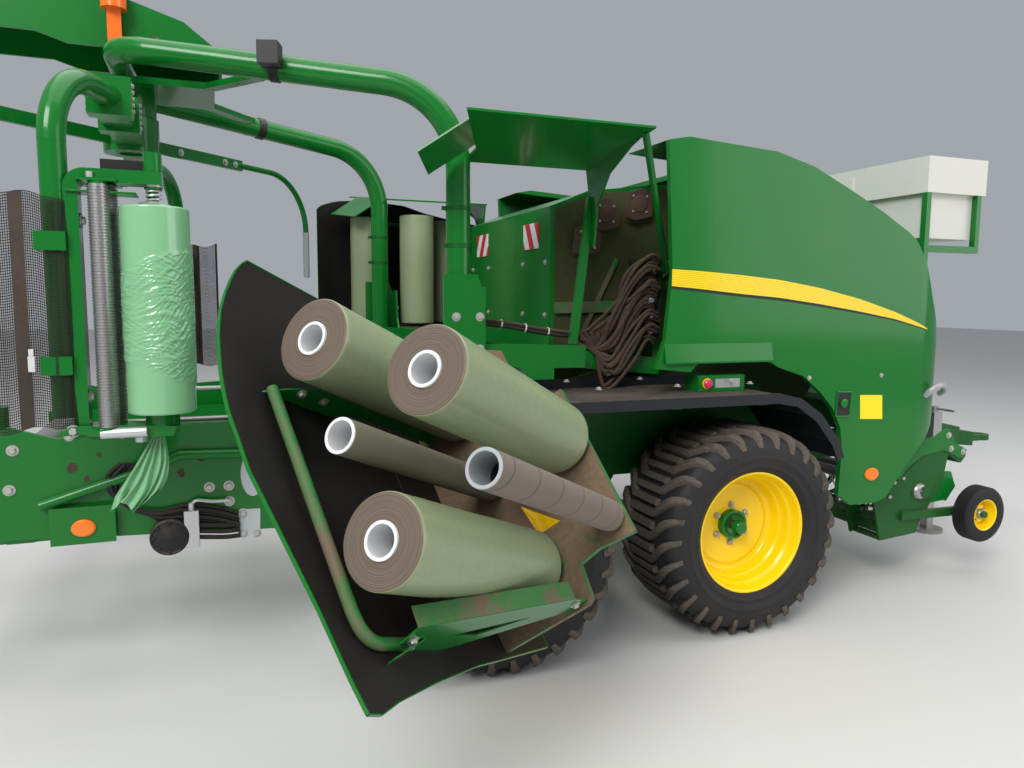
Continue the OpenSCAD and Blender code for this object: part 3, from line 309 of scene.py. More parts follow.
GREEN = (0.001, 0.15, 0.015)
BROWN = (0.17, 0.115, 0.075)
M = {
    "green": material("green_paint", GREEN, 0.24, coat=0.25, dusty=0.05, low=0.03, spread=0.1, bump=0.02, spec=0.22),
    "green_dusty": material("green_dusty", (0.0012, 0.095, 0.011), 0.4, coat=0.05, dusty=0.45, low=0.12,
                            all_over=0.08, bump=0.05, spec=0.2, dust=(0.16, 0.13, 0.09)),
    "green_worn": material("green_worn", (0.01, 0.17, 0.035), 0.45, dusty=0.5, dust=BROWN, bump=0.08, spec=0.25,
                           change=worn_edges),
    "green_inside": material("green_inside", (0.02, 0.05, 0.016), 0.6, dusty=0.8, low=0.3, spread=0.3, bump=0.15,
                             spec=0.2, dust=(0.1, 0.08, 0.05)),
    "olive": material("olive_dust", (0.026, 0.052, 0.013), 0.7, dusty=0.7, spread=0.5, bump=0.2, spec=0.15,
                      dust=(0.115, 0.082, 0.05), all_over=0.6),
    "green_rusty": material("green_rusty", (0.055, 0.034, 0.024), 0.6, dusty=0.4, spread=0.4, bump=0.3, spec=0.3,
                            change=rust_spots),
    "yellow": material("yellow_paint", (0.98, 0.66, 0.0), 0.24, coat=0.25, dusty=0.04, low=0.02, spread=0.05,
                       spec=0.3),
    "yellow_plate": material("yellow_plate", (0.93, 0.74, 0.01), 0.35, dusty=0.05, spread=0.04, spec=0.3),
    "black": material("black_plastic", (0.011, 0.011, 0.013), 0.42, dusty=0.35, low=0.1, bump=0.1, all_over=0.1,
                      spec=0.3),
    "guard": material("guard_plastic", (0.009, 0.0105, 0.0145), 0.45, dusty=0.9, bump=0.1, all_over=0.0, spec=0.35,
                      dust=(0.105, 0.085, 0.065)),
    "box": material("box_sheet", (0.0085, 0.008, 0.0078), 0.45, dusty=0.4, low=0.0, spread=0.6, bump=0.12, spec=0.25,
                    dust=(0.08, 0.055, 0.038), streak=(1, 5, 1), all_over=0.28),
    "tray": material("tray_sheet", (0.115, 0.078, 0.05), 0.75, dusty=0.5, spread=0.6, bump=0.2, spec=0.15,
                     dust=(0.22, 0.155, 0.1), change=green_patches),
    "tyre": material("tyre_rubber", (0.0085, 0.0095, 0.0115), 0.6, dusty=0.12, low=0.03, spread=0.4, bump=0.25,
                     bump_scale=90, spec=0.35, dust=(0.1, 0.08, 0.062)),
    "lug": material("tyre_lugs", (0.034, 0.03, 0.027), 0.85, dusty=0.8, low=0.1, spread=0.5, bump=0.5, bump_scale=70,
                    spec=0.2, dust=(0.12, 0.1, 0.08), all_over=0.42),
    "hose": material("hose_rubber", (0.011, 0.011, 0.012), 0.5, dusty=0.35, low=0.05, spec=0.3,
                     dust=(0.1, 0.07, 0.05)),
    "hose_dusty": material("hose_dusty", (0.03, 0.021, 0.016), 0.75, dusty=0.7, dust=(0.13, 0.09, 0.062),
                           all_over=0.4, bump=0.2, spec=0.2),
    "steel": material("steel", (0.42, 0.42, 0.41), 0.35, metal=0.9, dusty=0.2, low=0.15, bump=0.05),
    "zinc": material("zinc", (0.6, 0.61, 0.62), 0.38, metal=0.75, dusty=0.1, bump=0.03),
    "bolt": material("bolt", (0.5, 0.49, 0.46), 0.42, metal=0.6, dusty=0.2, dust=(0.2, 0.15, 0.1)),
    "rust": material("rusty_steel", (0.07, 0.036, 0.022), 0.75, metal=0.2, spread=0.5, dusty=0.3, bump=0.3),
    "orange": material("beacon_orange", (0.95, 0.16, 0.005), 0.15, coat=0.5),
    "reflex_orange": material("reflex_orange", (0.95, 0.2, 0.005), 0.25, coat=0.2, spread=0.05),
    "red": material("lamp_red", (0.45, 0.008, 0.005), 0.2, coat=0.5),
    "button": material("button", (0.75, 0.02, 0.12), 0.3, coat=0.4),
    "tank": material("tank_plastic", (0.66, 0.65, 0.6), 0.45, dusty=0.3, low=0.0, spread=0.2, dust=(0.22, 0.19, 0.14),
                     streak=(1, 1, 0.3)),
    "film": material("film_green", (0.215, 0.48, 0.245), 0.2, coat=0.45, spread=0.08, bump=0.04, bump_scale=40),
    "film_old": material("film_old", (0.265, 0.345, 0.185), 0.33, coat=0.25, dusty=0.5, spread=0.35,
                         dust=(0.235, 0.18, 0.12), bump=0.08, bump_scale=50, all_over=0.55, change=roll_ends,
                         streak=(1, 1, 0.35)),
    "card": material("cardboard", (0.185, 0.15, 0.12), 0.8, dusty=0.3, spread=0.2, dust=(0.16, 0.12, 0.085), bump=0.1,
                     change=card_spiral),
    "card_green": material("cardboard_film", (0.17, 0.16, 0.105), 0.6, dusty=0.5, spread=0.6, dust=(0.13, 0.1, 0.07),
                           bump=0.15),
    "core_end": material("core_end", (0.72, 0.73, 0.73), 0.45, spread=0.1, bump=0.05),
    "core_grey": material("core_grey", (0.36, 0.38, 0.39), 0.5, spread=0.1, bump=0.05),
    # inside of the film cores: a bluish dark grey that is painted shade, the shade down the cores' holes, not the
    # cardboard's own colour
    "core_in_shade": material("core_inside_painted_shade", (0.045, 0.05, 0.054), 0.5, spread=0.2, bump=0.05),
    "white": material("white_board", (0.72, 0.72, 0.72), 0.35, dusty=0.1, spread=0.03, change=board_stripes),
    "plain_white": material("plain_white", (0.62, 0.62, 0.6), 0.5, dusty=0.2, spread=0.05),
    "net": material("net_threads", (0.018, 0.016, 0.0145), 0.85, dusty=0.1, spread=0.2, spec=0.2),
    "hem": material("net_hem", (0.045, 0.034, 0.026), 0.75, dusty=0.4, spread=0.4, bump=0.1, spec=0.2),
    "grey_plate": material("grey_plate", (0.4, 0.41, 0.42), 0.4, metal=0.3, dusty=0.15, spread=0.08),
    "pale_grey": material("pale_grey", (0.5, 0.52, 0.55), 0.5, dusty=0.1, spread=0.05),
}

# Each slot of the record with the materials that may stand in it, its nodes' own one first
SLOTS = {
    "green_paint": ("green", "green_dusty", "green_worn", "green_inside", "green_rusty", "olive"),
    "yellow_paint": ("yellow", "yellow_plate"),
    "black_plastic": ("black", "hose", "hose_dusty", "net", "hem", "guard"),
    "box_sheet": ("box", "tray"),
    "tyre_rubber": ("tyre", "lug"),
    "steel": ("steel", "zinc", "bolt", "rust", "grey_plate", "pale_grey"),
    "beacon_orange": ("orange", "reflex_orange"),
    "lamp_red": ("red", "button"),
    "tank_plastic": ("tank",),
    "film_green": ("film",),
    "film_old": ("film_old",),
    "cardboard": ("card", "card_green", "core_end", "core_in_shade", "core_grey"),
    "white_red_board": ("white", "plain_white"),
}
NODE_MATERIAL = {
    "chassis": "green_dusty", "axles": "green_dusty", "chamber": "green_inside", "upper_frame": "green",
    "chamber_rollers": "steel", "wrapper_frame": "green", "mudguard_right": "guard", "mudguard_left": "guard",
    "pickup": "green_dusty", "pickup_bands": "green_dusty", "drawbar": "green_dusty", "box_hinges": "green_dusty",
}


def dress_nodes():
    """Gives each CAD node its material."""
    slots = {s["node"]: s["material_slot"] for s in frame["record"]["subparts"]}
    for name, obj in NODES.items():
        key = NODE_MATERIAL.get(name) or SLOTS[slots[name]][0]
        obj.data.materials.clear()
        obj.data.materials.append(M[key])


# Making pieces

def smooth_path(points, n):
    """Catmull-Rom curve through the points, with n steps between two of them."""
    p = [Vector(q) for q in points]
    out = []
    for i in range(len(p) - 1):
        a, b, c, d = p[max(i - 1, 0)], p[i], p[i + 1], p[min(i + 2, len(p) - 1)]
        for k in range(n):
            t = k / n
            square, cube = 2 * a - 5 * b + 4 * c - d, 3 * b - a - 3 * c + d
            out.append(0.5 * (2 * b + t * (c - a) + t * t * square + t ** 3 * cube))
    return out + [p[-1]]


def lookup(table, x):
    """Straight-line value of a table of pairs at x."""
    if x <= table[0][0]:
        return table[0][1]
    for (a, va), (b, vb) in zip(table, table[1:]):
        if x <= b:
            return va + (vb - va) * (x - a) / max(b - a, 1e-9)
    return table[-1][1]


def mm(*points):
    """Points given in millimetres, in metres."""
    return [tuple(c / 1000 for c in p) for p in points]


def grid_faces(rows, cols):
    """Quads of a grid of points, with cols points to a row."""
    return [(i * cols + j, i * cols + j + 1, (i + 1) * cols + j + 1, (i + 1) * cols + j)
            for i in range(rows - 1) for j in range(cols - 1)]


def circle(u, w, n):
    """Points of a unit circle in the plane of u and w."""
    return [u * math.cos(2 * math.pi * k / n) + w * math.sin(2 * math.pi * k / n) for k in range(n)]


class Kit:
    """Gathers simple solids, in ground metres or in a given frame, into one mesh."""

    def __init__(self):
        self.v = []
        self.f = []

    def add(self, verts, faces):
        """Takes in points and the faces between them."""
        n = len(self.v)
        self.v += [Vector(v) for v in verts]
        self.f += [tuple(i + n for i in f) for f in faces]
        return self

    def box(self, x0, x1, y0, y1, z0, z1):
        """A block between its limits."""
        v = [(x, y, z) for x in (x0, x1) for y in (y0, y1) for z in (z0, z1)]
        return self.add(v, [(0, 1, 3, 2), (4, 6, 7, 5), (0, 4, 5, 1), (2, 3, 7, 6), (0, 2, 6, 4), (1, 5, 7, 3)])

    def rings(self, rings, caps=True, closed=True):
        """Quads between rings of equally many points."""
        m = len(rings[0])
        faces = []
        for i in range(len(rings) - 1):
            for k in range(m if closed else m - 1):
                j = (k + 1) % m
                faces.append((i * m + k, i * m + j, (i + 1) * m + j, (i + 1) * m + k))
        if caps:
            faces.append(tuple(range(m))[::-1])
            faces.append(tuple((len(rings) - 1) * m + k for k in range(m)))
        return self.add([p for r in rings for p in r], faces)

    def lathe(self, prof, p=(0, 0, 0), d=(0, 0, 1), n=48):
        """A profile of (radius, height) turned round the axis d from p; closed where its ends lie on the axis."""
        p, d = Vector(p), Vector(d).normalized()
        u = d.orthogonal().normalized()
        w = d.cross(u)
        rings = [[p + d * h + max(r, 1e-4) * q for q in circle(u, w, n)] for r, h in prof]
        ends = prof[0][0] < 1e-6 and prof[-1][0] < 1e-6
        if ends:
            return self.rings(rings)
        return self.rings(rings + [rings[0]], caps=False)

    def cyl(self, p, q, r, n=20, edge=0.0):
        """A round bar between two points, its edges chamfered."""
        p, q = Vector(p), Vector(q)
        h = (q - p).length
        return self.lathe([(0, 0), (r - edge, 0), (r, edge), (r, h - edge), (r - edge, h), (0, h)], p, q - p, n)

    def tube(self, points, r, n=10, steps=5):
        """A round tube along the points, with steps to each span of its curve."""
        path = smooth_path(points, steps) if steps > 1 else [Vector(q) for q in points]
        rings = []
        side = None
        for i, p in enumerate(path):
            d = (path[min(i + 1, len(path) - 1)] - path[max(i - 1, 0)]).normalized()
            side = d.orthogonal().normalized() if side is None else (side - d * side.dot(d)).normalized()
            w = d.cross(side)
            rings.append([p + r * q for q in circle(side, w, n)])
        return self.rings(rings)

    def beam(self, p, q, w, h, up=(0, 0, 1)):
        """A bar of section w by h between two points, its h side towards up."""
        p, q = Vector(p), Vector(q)
        d = (q - p).normalized()
        side = d.cross(Vector(up)).normalized() * (w / 2)
        top = side.cross(d).normalized() * (h / 2)
        return self.rings([[c - side - top, c + side - top, c + side + top, c - side + top] for c in (p, q)])

    def plate(self, points, t, p=(0, 0, 0), u=(1, 0, 0), v=(0, 0, 1)):
        """A flat outline of (u, v) points, drawn t thick along u cross v."""
        p, u, v = Vector(p), Vector(u), Vector(v)
        w = u.cross(v).normalized() * t
        low = [p + u * a + v * b for a, b in points]
        return self.rings([low, [q + w for q in low]])

    def plates(self, outlines, t, p=(0, 0, 0), u=(1, 0, 0), v=(0, 0, 1)):
        """A flat sheet t thick made of outlines that share edges, with walls along its free edges only."""
        p, u, v = Vector(p), Vector(u), Vector(v)
        w = u.cross(v).normalized() * t
        pts = sorted({q for o in outlines for q in o})
        where = {q: i for i, q in enumerate(pts)}
        low = [p + u * a + v * b for a, b in pts]
        n = len(pts)
        faces, edges = [], {}
        for o in outlines:
            area = sum(a[0] * b[1] - b[0] * a[1] for a, b in zip(o, o[1:] + o[:1]))
            ids = [where[q] for q in (o if area > 0 else o[::-1])]
            faces += [tuple(i + n for i in ids), tuple(ids[::-1])]
            for a, b in zip(ids, ids[1:] + ids[:1]):
                edges[(a, b)] = edges.get((a, b), 0) + 1
        faces += [(a, b, b + n, a + n) for a, b in edges if (b, a) not in edges]
        return self.add(low + [q + w for q in low], faces)

    def bolt(self, p, d, r=0.012, washer=True):
        """A hexagon head on its washer."""
        p, d = Vector(p), Vector(d).normalized()
        if washer:
            self.lathe([(0, 0), (r * 1.75, 0), (r * 1.75, r * 0.22), (0, r * 0.22)], p, d, 18)
        self.lathe([(0, 0), (r * 1.1, 0), (r * 1.1, r * 0.75), (r * 0.9, r * 0.95), (0, r * 0.95)], p + d * r * 0.2,
                   d, 6)
        return self

    def done(self, name, body, mat, place=GROUND, mirror=False, bevel=0.0, angle=32, replaces=()):
        """Makes the gathered solids one piece that rides on a body; the left side is drawn mirrored."""
        sign = -1 if mirror else 1
        mesh = bpy.data.meshes.new(name)
        mesh.from_pydata([(v.x, sign * v.y, v.z) for v in self.v], [], [f[::-1] if mirror else f for f in self.f])
        bm = bmesh.new()
        bm.from_mesh(mesh)
        bmesh.ops.remove_doubles(bm, verts=bm.verts, dist=2e-5)
        bmesh.ops.recalc_face_normals(bm, faces=bm.faces)
        bm.to_mesh(mesh)
        bm.free()
        mesh.shade_smooth()
        mesh.set_sharp_from_angle(angle=math.radians(angle))
        obj = bpy.data.objects.new(name, mesh)
        bpy.context.collection.objects.link(obj)
        obj.matrix_world = place
        mesh.materials.append(M[mat])
        if bevel:
            b = obj.modifiers.new("bevel", "BEVEL")
            b.width = bevel
            b.segments = 2
            b.limit_method = "ANGLE"
            b.angle_limit = math.radians(40)
        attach(obj, body)
        if replaces:
            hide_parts(*replaces)
        return obj

    def pair(self, name, body, mat, side, place=GROUND, **how):
        """The same for one of two pieces, drawn as the right one."""
        return self.done(f"{name}_{side}", body, mat, place, side == "left", **how)


# Each side with the sign of its y
SIDES = {"right": -1, "left": 1}


# Wheels

AXLE_X = 0.6445  # half the distance between the two axles
WHEEL_Y = 1.146  # middle of a tyre from the machine's middle
TYRE_R = 0.53
LUG_COUNT = 28  # on each half of a tyre
LUG_HALF = 0.0165  # half a lug's width in the tread, then where it sweeps back
LUG_HALF_OUT = 0.0195
NUT_COUNT = 6


def wheel_frame(x, s):
    """Place of a wheel, its own Z along the axle and outwards; s is -1 on the right and 1 on the left."""
    m = Matrix(((1, 0, 0, x), (0, 0, s, s * WHEEL_Y), (0, -s, 0, TYRE_R), (0, 0, 0, 1)))
    return GROUND @ m


def make_wheels():
    """Carcass, lugs, rim, hub and nuts of the four wheels."""
    # Half a carcass and the rim as pairs: across the tyre and radius; radius and along the axle
    half = mm((0, 503), (90, 503.2), (165, 501.5), (200, 496.5), (226, 484), (243, 460), (251, 432), (253.5, 410),
              (252.5, 392), (254.5, 388), (252.5, 384), (248, 366), (242, 348), (244, 342), (238, 334), (228, 316),
              (219, 308.5), (204, 307.5), (196, 294))
    section = [(r, a) for a, r in half[::-1]] + [(r, -a) for a, r in half[1:]]
    # A lug's middle line: across the tyre, how far it trails round it, and its height
    path = mm((-110, 0, 530), (-70, 0, 530), (-35, 0, 530), (0, 0, 530), (35, 0, 530), (70, 0, 530), (94, -1, 530),
              (108, -6, 530), (128, -25, 530), (150, -47, 530), (175, -71, 529.5), (203, -94, 526), (226, -109, 513),
              (243, -119, 490), (251, -124, 462), (253.5, -125, 448))
    # The carcass below the lugs
    low = mm((0, 503), (165, 501.5), (200, 496.5), (226, 484), (243, 460), (251, 444), (254, 440))
    rim = mm((0, 36), (100, 36), (196, 37.5), (204, 41), (209, 40.5), (214, 36), (232, 37), (243, 42), (250, 54),
             (253.5, 94), (256, 102), (262, 106), (266.5, 112), (269, 150), (271, 158), (278, 163), (284, 171),
             (290, 196), (294, 213), (299, 219), (305, 221), (309.5, 219), (309.5, 213), (304, 208), (298, 190),
             (292, 165), (280, 100), (276, 0), (280, -100), (292, -165), (304, -208), (309.5, -213), (309.5, -219),
             (305, -221), (299, -219), (292, -205), (284, -165), (272, -100), (268, -30), (262, 14), (240, 20),
             (0, 20))
    for side, s in SIDES.items():
        for end, x in (("front", AXLE_X), ("rear", -AXLE_X)):
            body = f"wheel_{end}_{side}"
            place = wheel_frame(x, s)
            carcass = Kit().lathe(section, n=112)
            carcass.done(f"carcass_{end}_{side}", body, "tyre", place, angle=50, replaces=(f"tyre_{end}_{side}",))
            lugs = Kit()
            rnd = random.Random(11)
            for half_sign in (1, -1):
                for i in range(LUG_COUNT):
                    phi0 = (i + (0.5 if half_sign < 0 else 0)) * 2 * math.pi / LUG_COUNT
                    rings = []
                    wear = rnd.uniform(-0.0012, 0.0)
                    for k, (a, c, r) in enumerate(path):
                        base = lookup(low, abs(a)) - 0.004
                        hw = LUG_HALF if k < 7 else LUG_HALF_OUT - 0.0025 * max(k - 11, 0)
                        ring = []
                        for w, rad in ((-hw * 1.32, base), (-hw * 1.02, r - 0.003 + wear), (-hw * 0.86, r + wear),
                                       (hw * 0.86, r + wear), (hw * 1.02, r - 0.003 + wear), (hw * 1.32, base)):
                            phi = phi0 - s * (c + w) / TYRE_R
                            ring.append((rad * math.cos(phi), rad * math.sin(phi), a * half_sign))
                        rings.append(ring)
                    lugs.rings(rings)
            lugs.done(f"lugs_{end}_{side}", body, "lug", place, angle=40)
            Kit().lathe(rim, n=96).done(f"rim_dish_{end}_{side}", body, "yellow", place, angle=60,
                                        replaces=(f"rim_{end}_{side}",))
            hub = Kit().lathe(mm((0, 48), (30, 48), (46, 56), (58, 66), (62, 75), (70, 77), (75.5, 74), (76.5, 66),
                                 (76.5, 34), (0, 34)), n=48)
            hub.lathe(mm((0, 85), (28, 85), (33, 90), (33, 130), (29, 135), (0, 135)), n=36)
            hub.lathe(mm((0, -240), (150, -240), (150, -140), (92, -135), (92, 22), (0, 22)), n=48)
            hub.done(f"hub_{end}_{side}", body, "green", place, bevel=0.0012)
            neck = Kit().lathe(mm((0, 46), (22, 46), (19, 70), (21, 88), (0, 88)), n=24)
            neck.done(f"hub_neck_{end}_{side}", body, "rust", place)
            nuts = Kit()
            for k in range(NUT_COUNT):
                a = math.radians(30 + 360 / NUT_COUNT * k)
                p = Vector((0.1 * math.cos(a), 0.1 * math.sin(a), 0.034))
                nuts.lathe(mm((0, 0), (19, 0), (19, 4), (0, 4)), p, n=18)
                nuts.lathe(mm((0, 3), (14.5, 3), (14.5, 17), (12, 20), (0, 20)), p, n=6)
                nuts.lathe(mm((0, 15), (7.5, 15), (7.5, 27), (0, 27)), p, n=12)
            nuts.done(f"nuts_{end}_{side}", body, "bolt", place)


# Film rolls and film

def wrinkle(a, z):
    """Height of the film's creases at angle a and height z, from 0 to 1: long sharp folds that cross."""
    x, y = math.cos(a) * 0.45, math.sin(a) * 0.45
    bend = 0.05 * noise.noise(Vector((x * 2, y * 2, z * 5)))
    out = 0.0
    for slant, scale, weight, seed in ((0.16, 55, 0.8, 0.0), (-0.12, 70, 0.6, 7.3), (0.05, 110, 0.45, 3.1)):
        w = z + slant * math.sin(a + seed) + bend
        n = noise.noise(Vector((x * 1.7 + seed, y * 1.7, w * scale)))
        out += weight * max(0.0, 1 - abs(n) * 5.5)
    return min(1.0, out)


CENTRE_X = -2.2  # the satellite's axis
ORBIT_R = 1.286  # from it to a film roll's axis
ROLL_R, ROLL_H, CORE_R = 0.1185, 0.75, 0.0485  # a full roll and its core


def satellite_frame(side):
    """Place of one half of the satellite, as it stands on the right or turned to the left."""
    m = GROUND @ Matrix.Translation((CENTRE_X, 0, 0))
    return m if side == "right" else m @ Matrix.Rotation(math.pi, 4, "Z")


def make_satellite_rolls():
    """Film rolls on the dispensers, creased where the film runs off."""
    nu, nw = 200, 230
    for side in SIDES:
        place = satellite_frame(side) @ Matrix.Translation((0.174, -ORBIT_R, 1.255))
        rings = []
        for j in range(nw + 1):
            z = ROLL_H * j / nw
            ring = []
            for i in range(nu):
                a = 2 * math.pi * i / nu
                top = 0.545 + 0.055 * math.sin(a + 2.2)
                low = 0.135 - 0.045 * math.sin(a + 1.4)
                inside = min(1.0, max(0.0, (top - z) / 0.012)) * min(1.0, max(0.0, (z - low) / 0.02))
                r = ROLL_R + 0.0006 * inside
                if inside > 0:
                    r += 0.005 * inside * wrinkle(a, z)
                edge = min(z, ROLL_H - z)
                if edge < 0.004:
                    r -= 0.004 - edge
                ring.append((r * math.cos(a), r * math.sin(a), z))
            rings.append(ring)
        roll = Kit().rings(rings, caps=False)
        ends = Kit()
        for z, d in ((0.0, 1), (ROLL_H, -1)):
            ends.lathe([(CORE_R, z + d * 0.0015), (CORE_R, z), (0.1145, z), (0.1145, z + d * 0.003)], n=64)
        roll.done(f"film_surface_{side}", f"roll_{side}", "film", place, angle=80, replaces=(f"film_roll_{side}",))
        ends.done(f"film_ends_{side}", f"roll_{side}", "film", place)
        core = Kit().lathe([(0.039, -0.001), (CORE_R, -0.001), (CORE_R, ROLL_H + 0.004), (0.039, ROLL_H + 0.004)],
                           n=48)
        core.done(f"film_core_{side}", f"roll_{side}", "core_end", place)


# Rolls in a film box: along and across it from the first one's axis, and whether it is full
STORED_X, STORED_Y = -0.79, -1.24
STORED = ((0, 0, True), (0.3, 0.272, True), (0.316, -0.012, False), (0.614, 0.312, False), (0.622, 0, True))
# How far the right box stands open, a point on its hinge and the hinge's direction
OPEN_DEG = 118
HINGE_P = Vector((-0.895, -1.443, 1.107))
HINGE_A = Vector((0.656059, 0, -0.75471))


def box_frame(side):
    """Where a film box's own coordinates lie, which are those of the right box closed."""
    if side == "left":
        return GROUND.copy()
    swing = Matrix.Rotation(math.radians(OPEN_DEG), 4, HINGE_A)
    return GROUND @ Matrix.Translation(HINGE_P) @ swing @ Matrix.Translation(-HINGE_P)


def make_stored_rolls():
    """Full rolls and empty cores in the film boxes."""
    m = 96
    for side, s in SIDES.items():
        body = f"film_box_{side}"
        for n, (dx, dy, full) in enumerate(STORED):
            y = STORED_Y + dy
            spot = (STORED_X + dx, -s * y, 1.51)
            place = box_frame(side) @ Matrix.Translation(spot) @ Matrix.Rotation(0.9 * n, 4, "Z")
            node = () if n else (f"stored_film_{side}", f"stored_cores_{side}")
            if full:
                rnd = Vector((n * 3.1, s * 2.0, 0.5))
                rings = []
                rows = [0.0, 0.0006, 0.002, 0.005] + [ROLL_H * k / 46 for k in range(1, 46)] + [0.745, 0.748, 0.7494,
                        ROLL_H]
                for z in rows:
                    ring = []
                    for i in range(m):
                        a = 2 * math.pi * i / m
                        q = Vector((math.cos(a), math.sin(a), z * 3)) + rnd
                        r = ROLL_R + 0.0012 * noise.noise(q * 1.4)
                        r += 0.0007 * noise.noise(Vector((q.x * 2, q.y * 2, z * 60)))
                        edge = min(z, ROLL_H - z)
                        r -= 0.0045 * max(0.0, 1 - edge / 0.005) ** 2
                        ring.append((r * math.cos(a), r * math.sin(a), z))
                    rings.append(ring)
                faces = [(i * m + k, i * m + (k + 1) % m, (i + 1) * m + (k + 1) % m, (i + 1) * m + k)
                         for i in range(len(rows) - 1) for k in range(m)]
                verts = [v for ring in rings for v in ring]
                for z, row, flip in ((0.0, 0, True), (ROLL_H, len(rows) - 1, False)):
                    prev = row * m
                    for t in range(1, 9):
                        q = 0.114 - (0.114 - CORE_R) * t / 8
                        start = len(verts)
                        for i in range(m):
                            a = 2 * math.pi * i / m
                            d = 0.0005 * noise.noise(Vector((math.cos(a), math.sin(a), t * 1.7)) * 2.5 + rnd)
                            verts.append((q * math.cos(a), q * math.sin(a), z + (d if t < 8 else 0)))
                        for k in range(m):
                            j = (k + 1) % m
                            f = (prev + k, prev + j, start + j, start + k)
                            faces.append(f[::-1] if flip else f)
                        prev = start
                Kit().add(verts, faces).done(f"stored_roll_{side}_{n}", body, "film_old", place, angle=50,
                                             replaces=node)
            ring = Kit()
            z1 = 0.757 if full else 0.76
            ring.lathe([(0.0392, z1 - 0.1), (0.0482, z1 - 0.1), (0.0482, z1 - 0.001), (0.0474, z1), (0.04, z1),
                        (0.0392, z1 - 0.001)], n=56)
            ring.done(f"core_end_{side}_{n}", body, "core_grey" if n == 3 else "core_end", place)
            # the core's inner wall below its top ring is painted dark: painted shade down the core's hole
            tube = Kit().lathe([(0.039, 0.002), (0.048, 0.002), (0.048, z1 - 0.11), (0.048, z1 - 0.1001),
                                (0.039, z1 - 0.1001)], n=56)
            if not full:
                outer = Kit().lathe([(0.0481, 0.001), (0.0489, 0.001), (0.0489, z1 - 0.004), (0.0481, z1 - 0.004)],
                                    n=56)
                outer.done(f"core_card_{side}_{n}", body, "card" if n == 3 else "card_green", place)
            tube.done(f"core_in_shade_{side}_{n}", body, "core_in_shade", place)


def make_film_tails():
    """Film hanging from the dispenser, gathered at its top and spread in folds below."""
    nu, nw = 64, 60
    for side, s in SIDES.items():
        place = satellite_frame(side) @ Matrix.Translation((0, -ORBIT_R, 0))
        verts = []
        for j in range(nw + 1):
            t = j / nw
            z = 1.167 - 0.29 * t
            mid = 0.155 - 0.04 * t - 0.075 * t * t
            width = 0.04 + 0.11 * math.sin(min(t * 1.25, 1) * math.pi / 2) - 0.035 * max(t - 0.8, 0) / 0.2
            for i in range(nu + 1):
                q = i / nu
                fold = math.sin(q * 2 * math.pi * 5.5 + 1.7 * math.sin(t * 3 + q * 4)) * (0.0075 + 0.004 * t)
                fine = 0.0028 * noise.noise(Vector((q * 16, t * 7, 3 + s)))
                x = mid + (q - 0.5) * width + 0.006 * math.sin(q * 17 + t * 5) * t
                hem = 0.075 * t ** 4 * (0.5 + 0.5 * math.cos((q - 0.3) * 8.5))
                verts.append((x, 0.002 + fold + fine, z + hem * 0.6))
        kit = Kit().add(verts, grid_faces(nw + 1, nu + 1))
        obj = kit.done(f"film_end_{side}", "satellite", "film", place, angle=180, replaces=(f"film_tail_{side}",))


# Film boxes

def skin_y(x, inset):
    """Outer face of the box's sheet at x, in the box's closed place, moved in by inset."""
    r = 1.04 - inset
    if x < -0.5755:
        return -0.422 - math.sqrt(max(r * r - (x + 0.64) ** 2, 0))
    if x < -0.3:
        return -1.46 + inset
    return -1.46 + inset + 0.032 * (x + 0.3) / 0.501


SKIN_T = 0.008  # the film box's sheet
FLOOR_Z = 1.48  # underside of its floor tray


def skin_limits(bottom, top, x):
    """Low and high edge of the box's sheet at x."""
    lo = lookup(bottom, x)
    return lo, max(lookup(top, x), lo + 0.004)


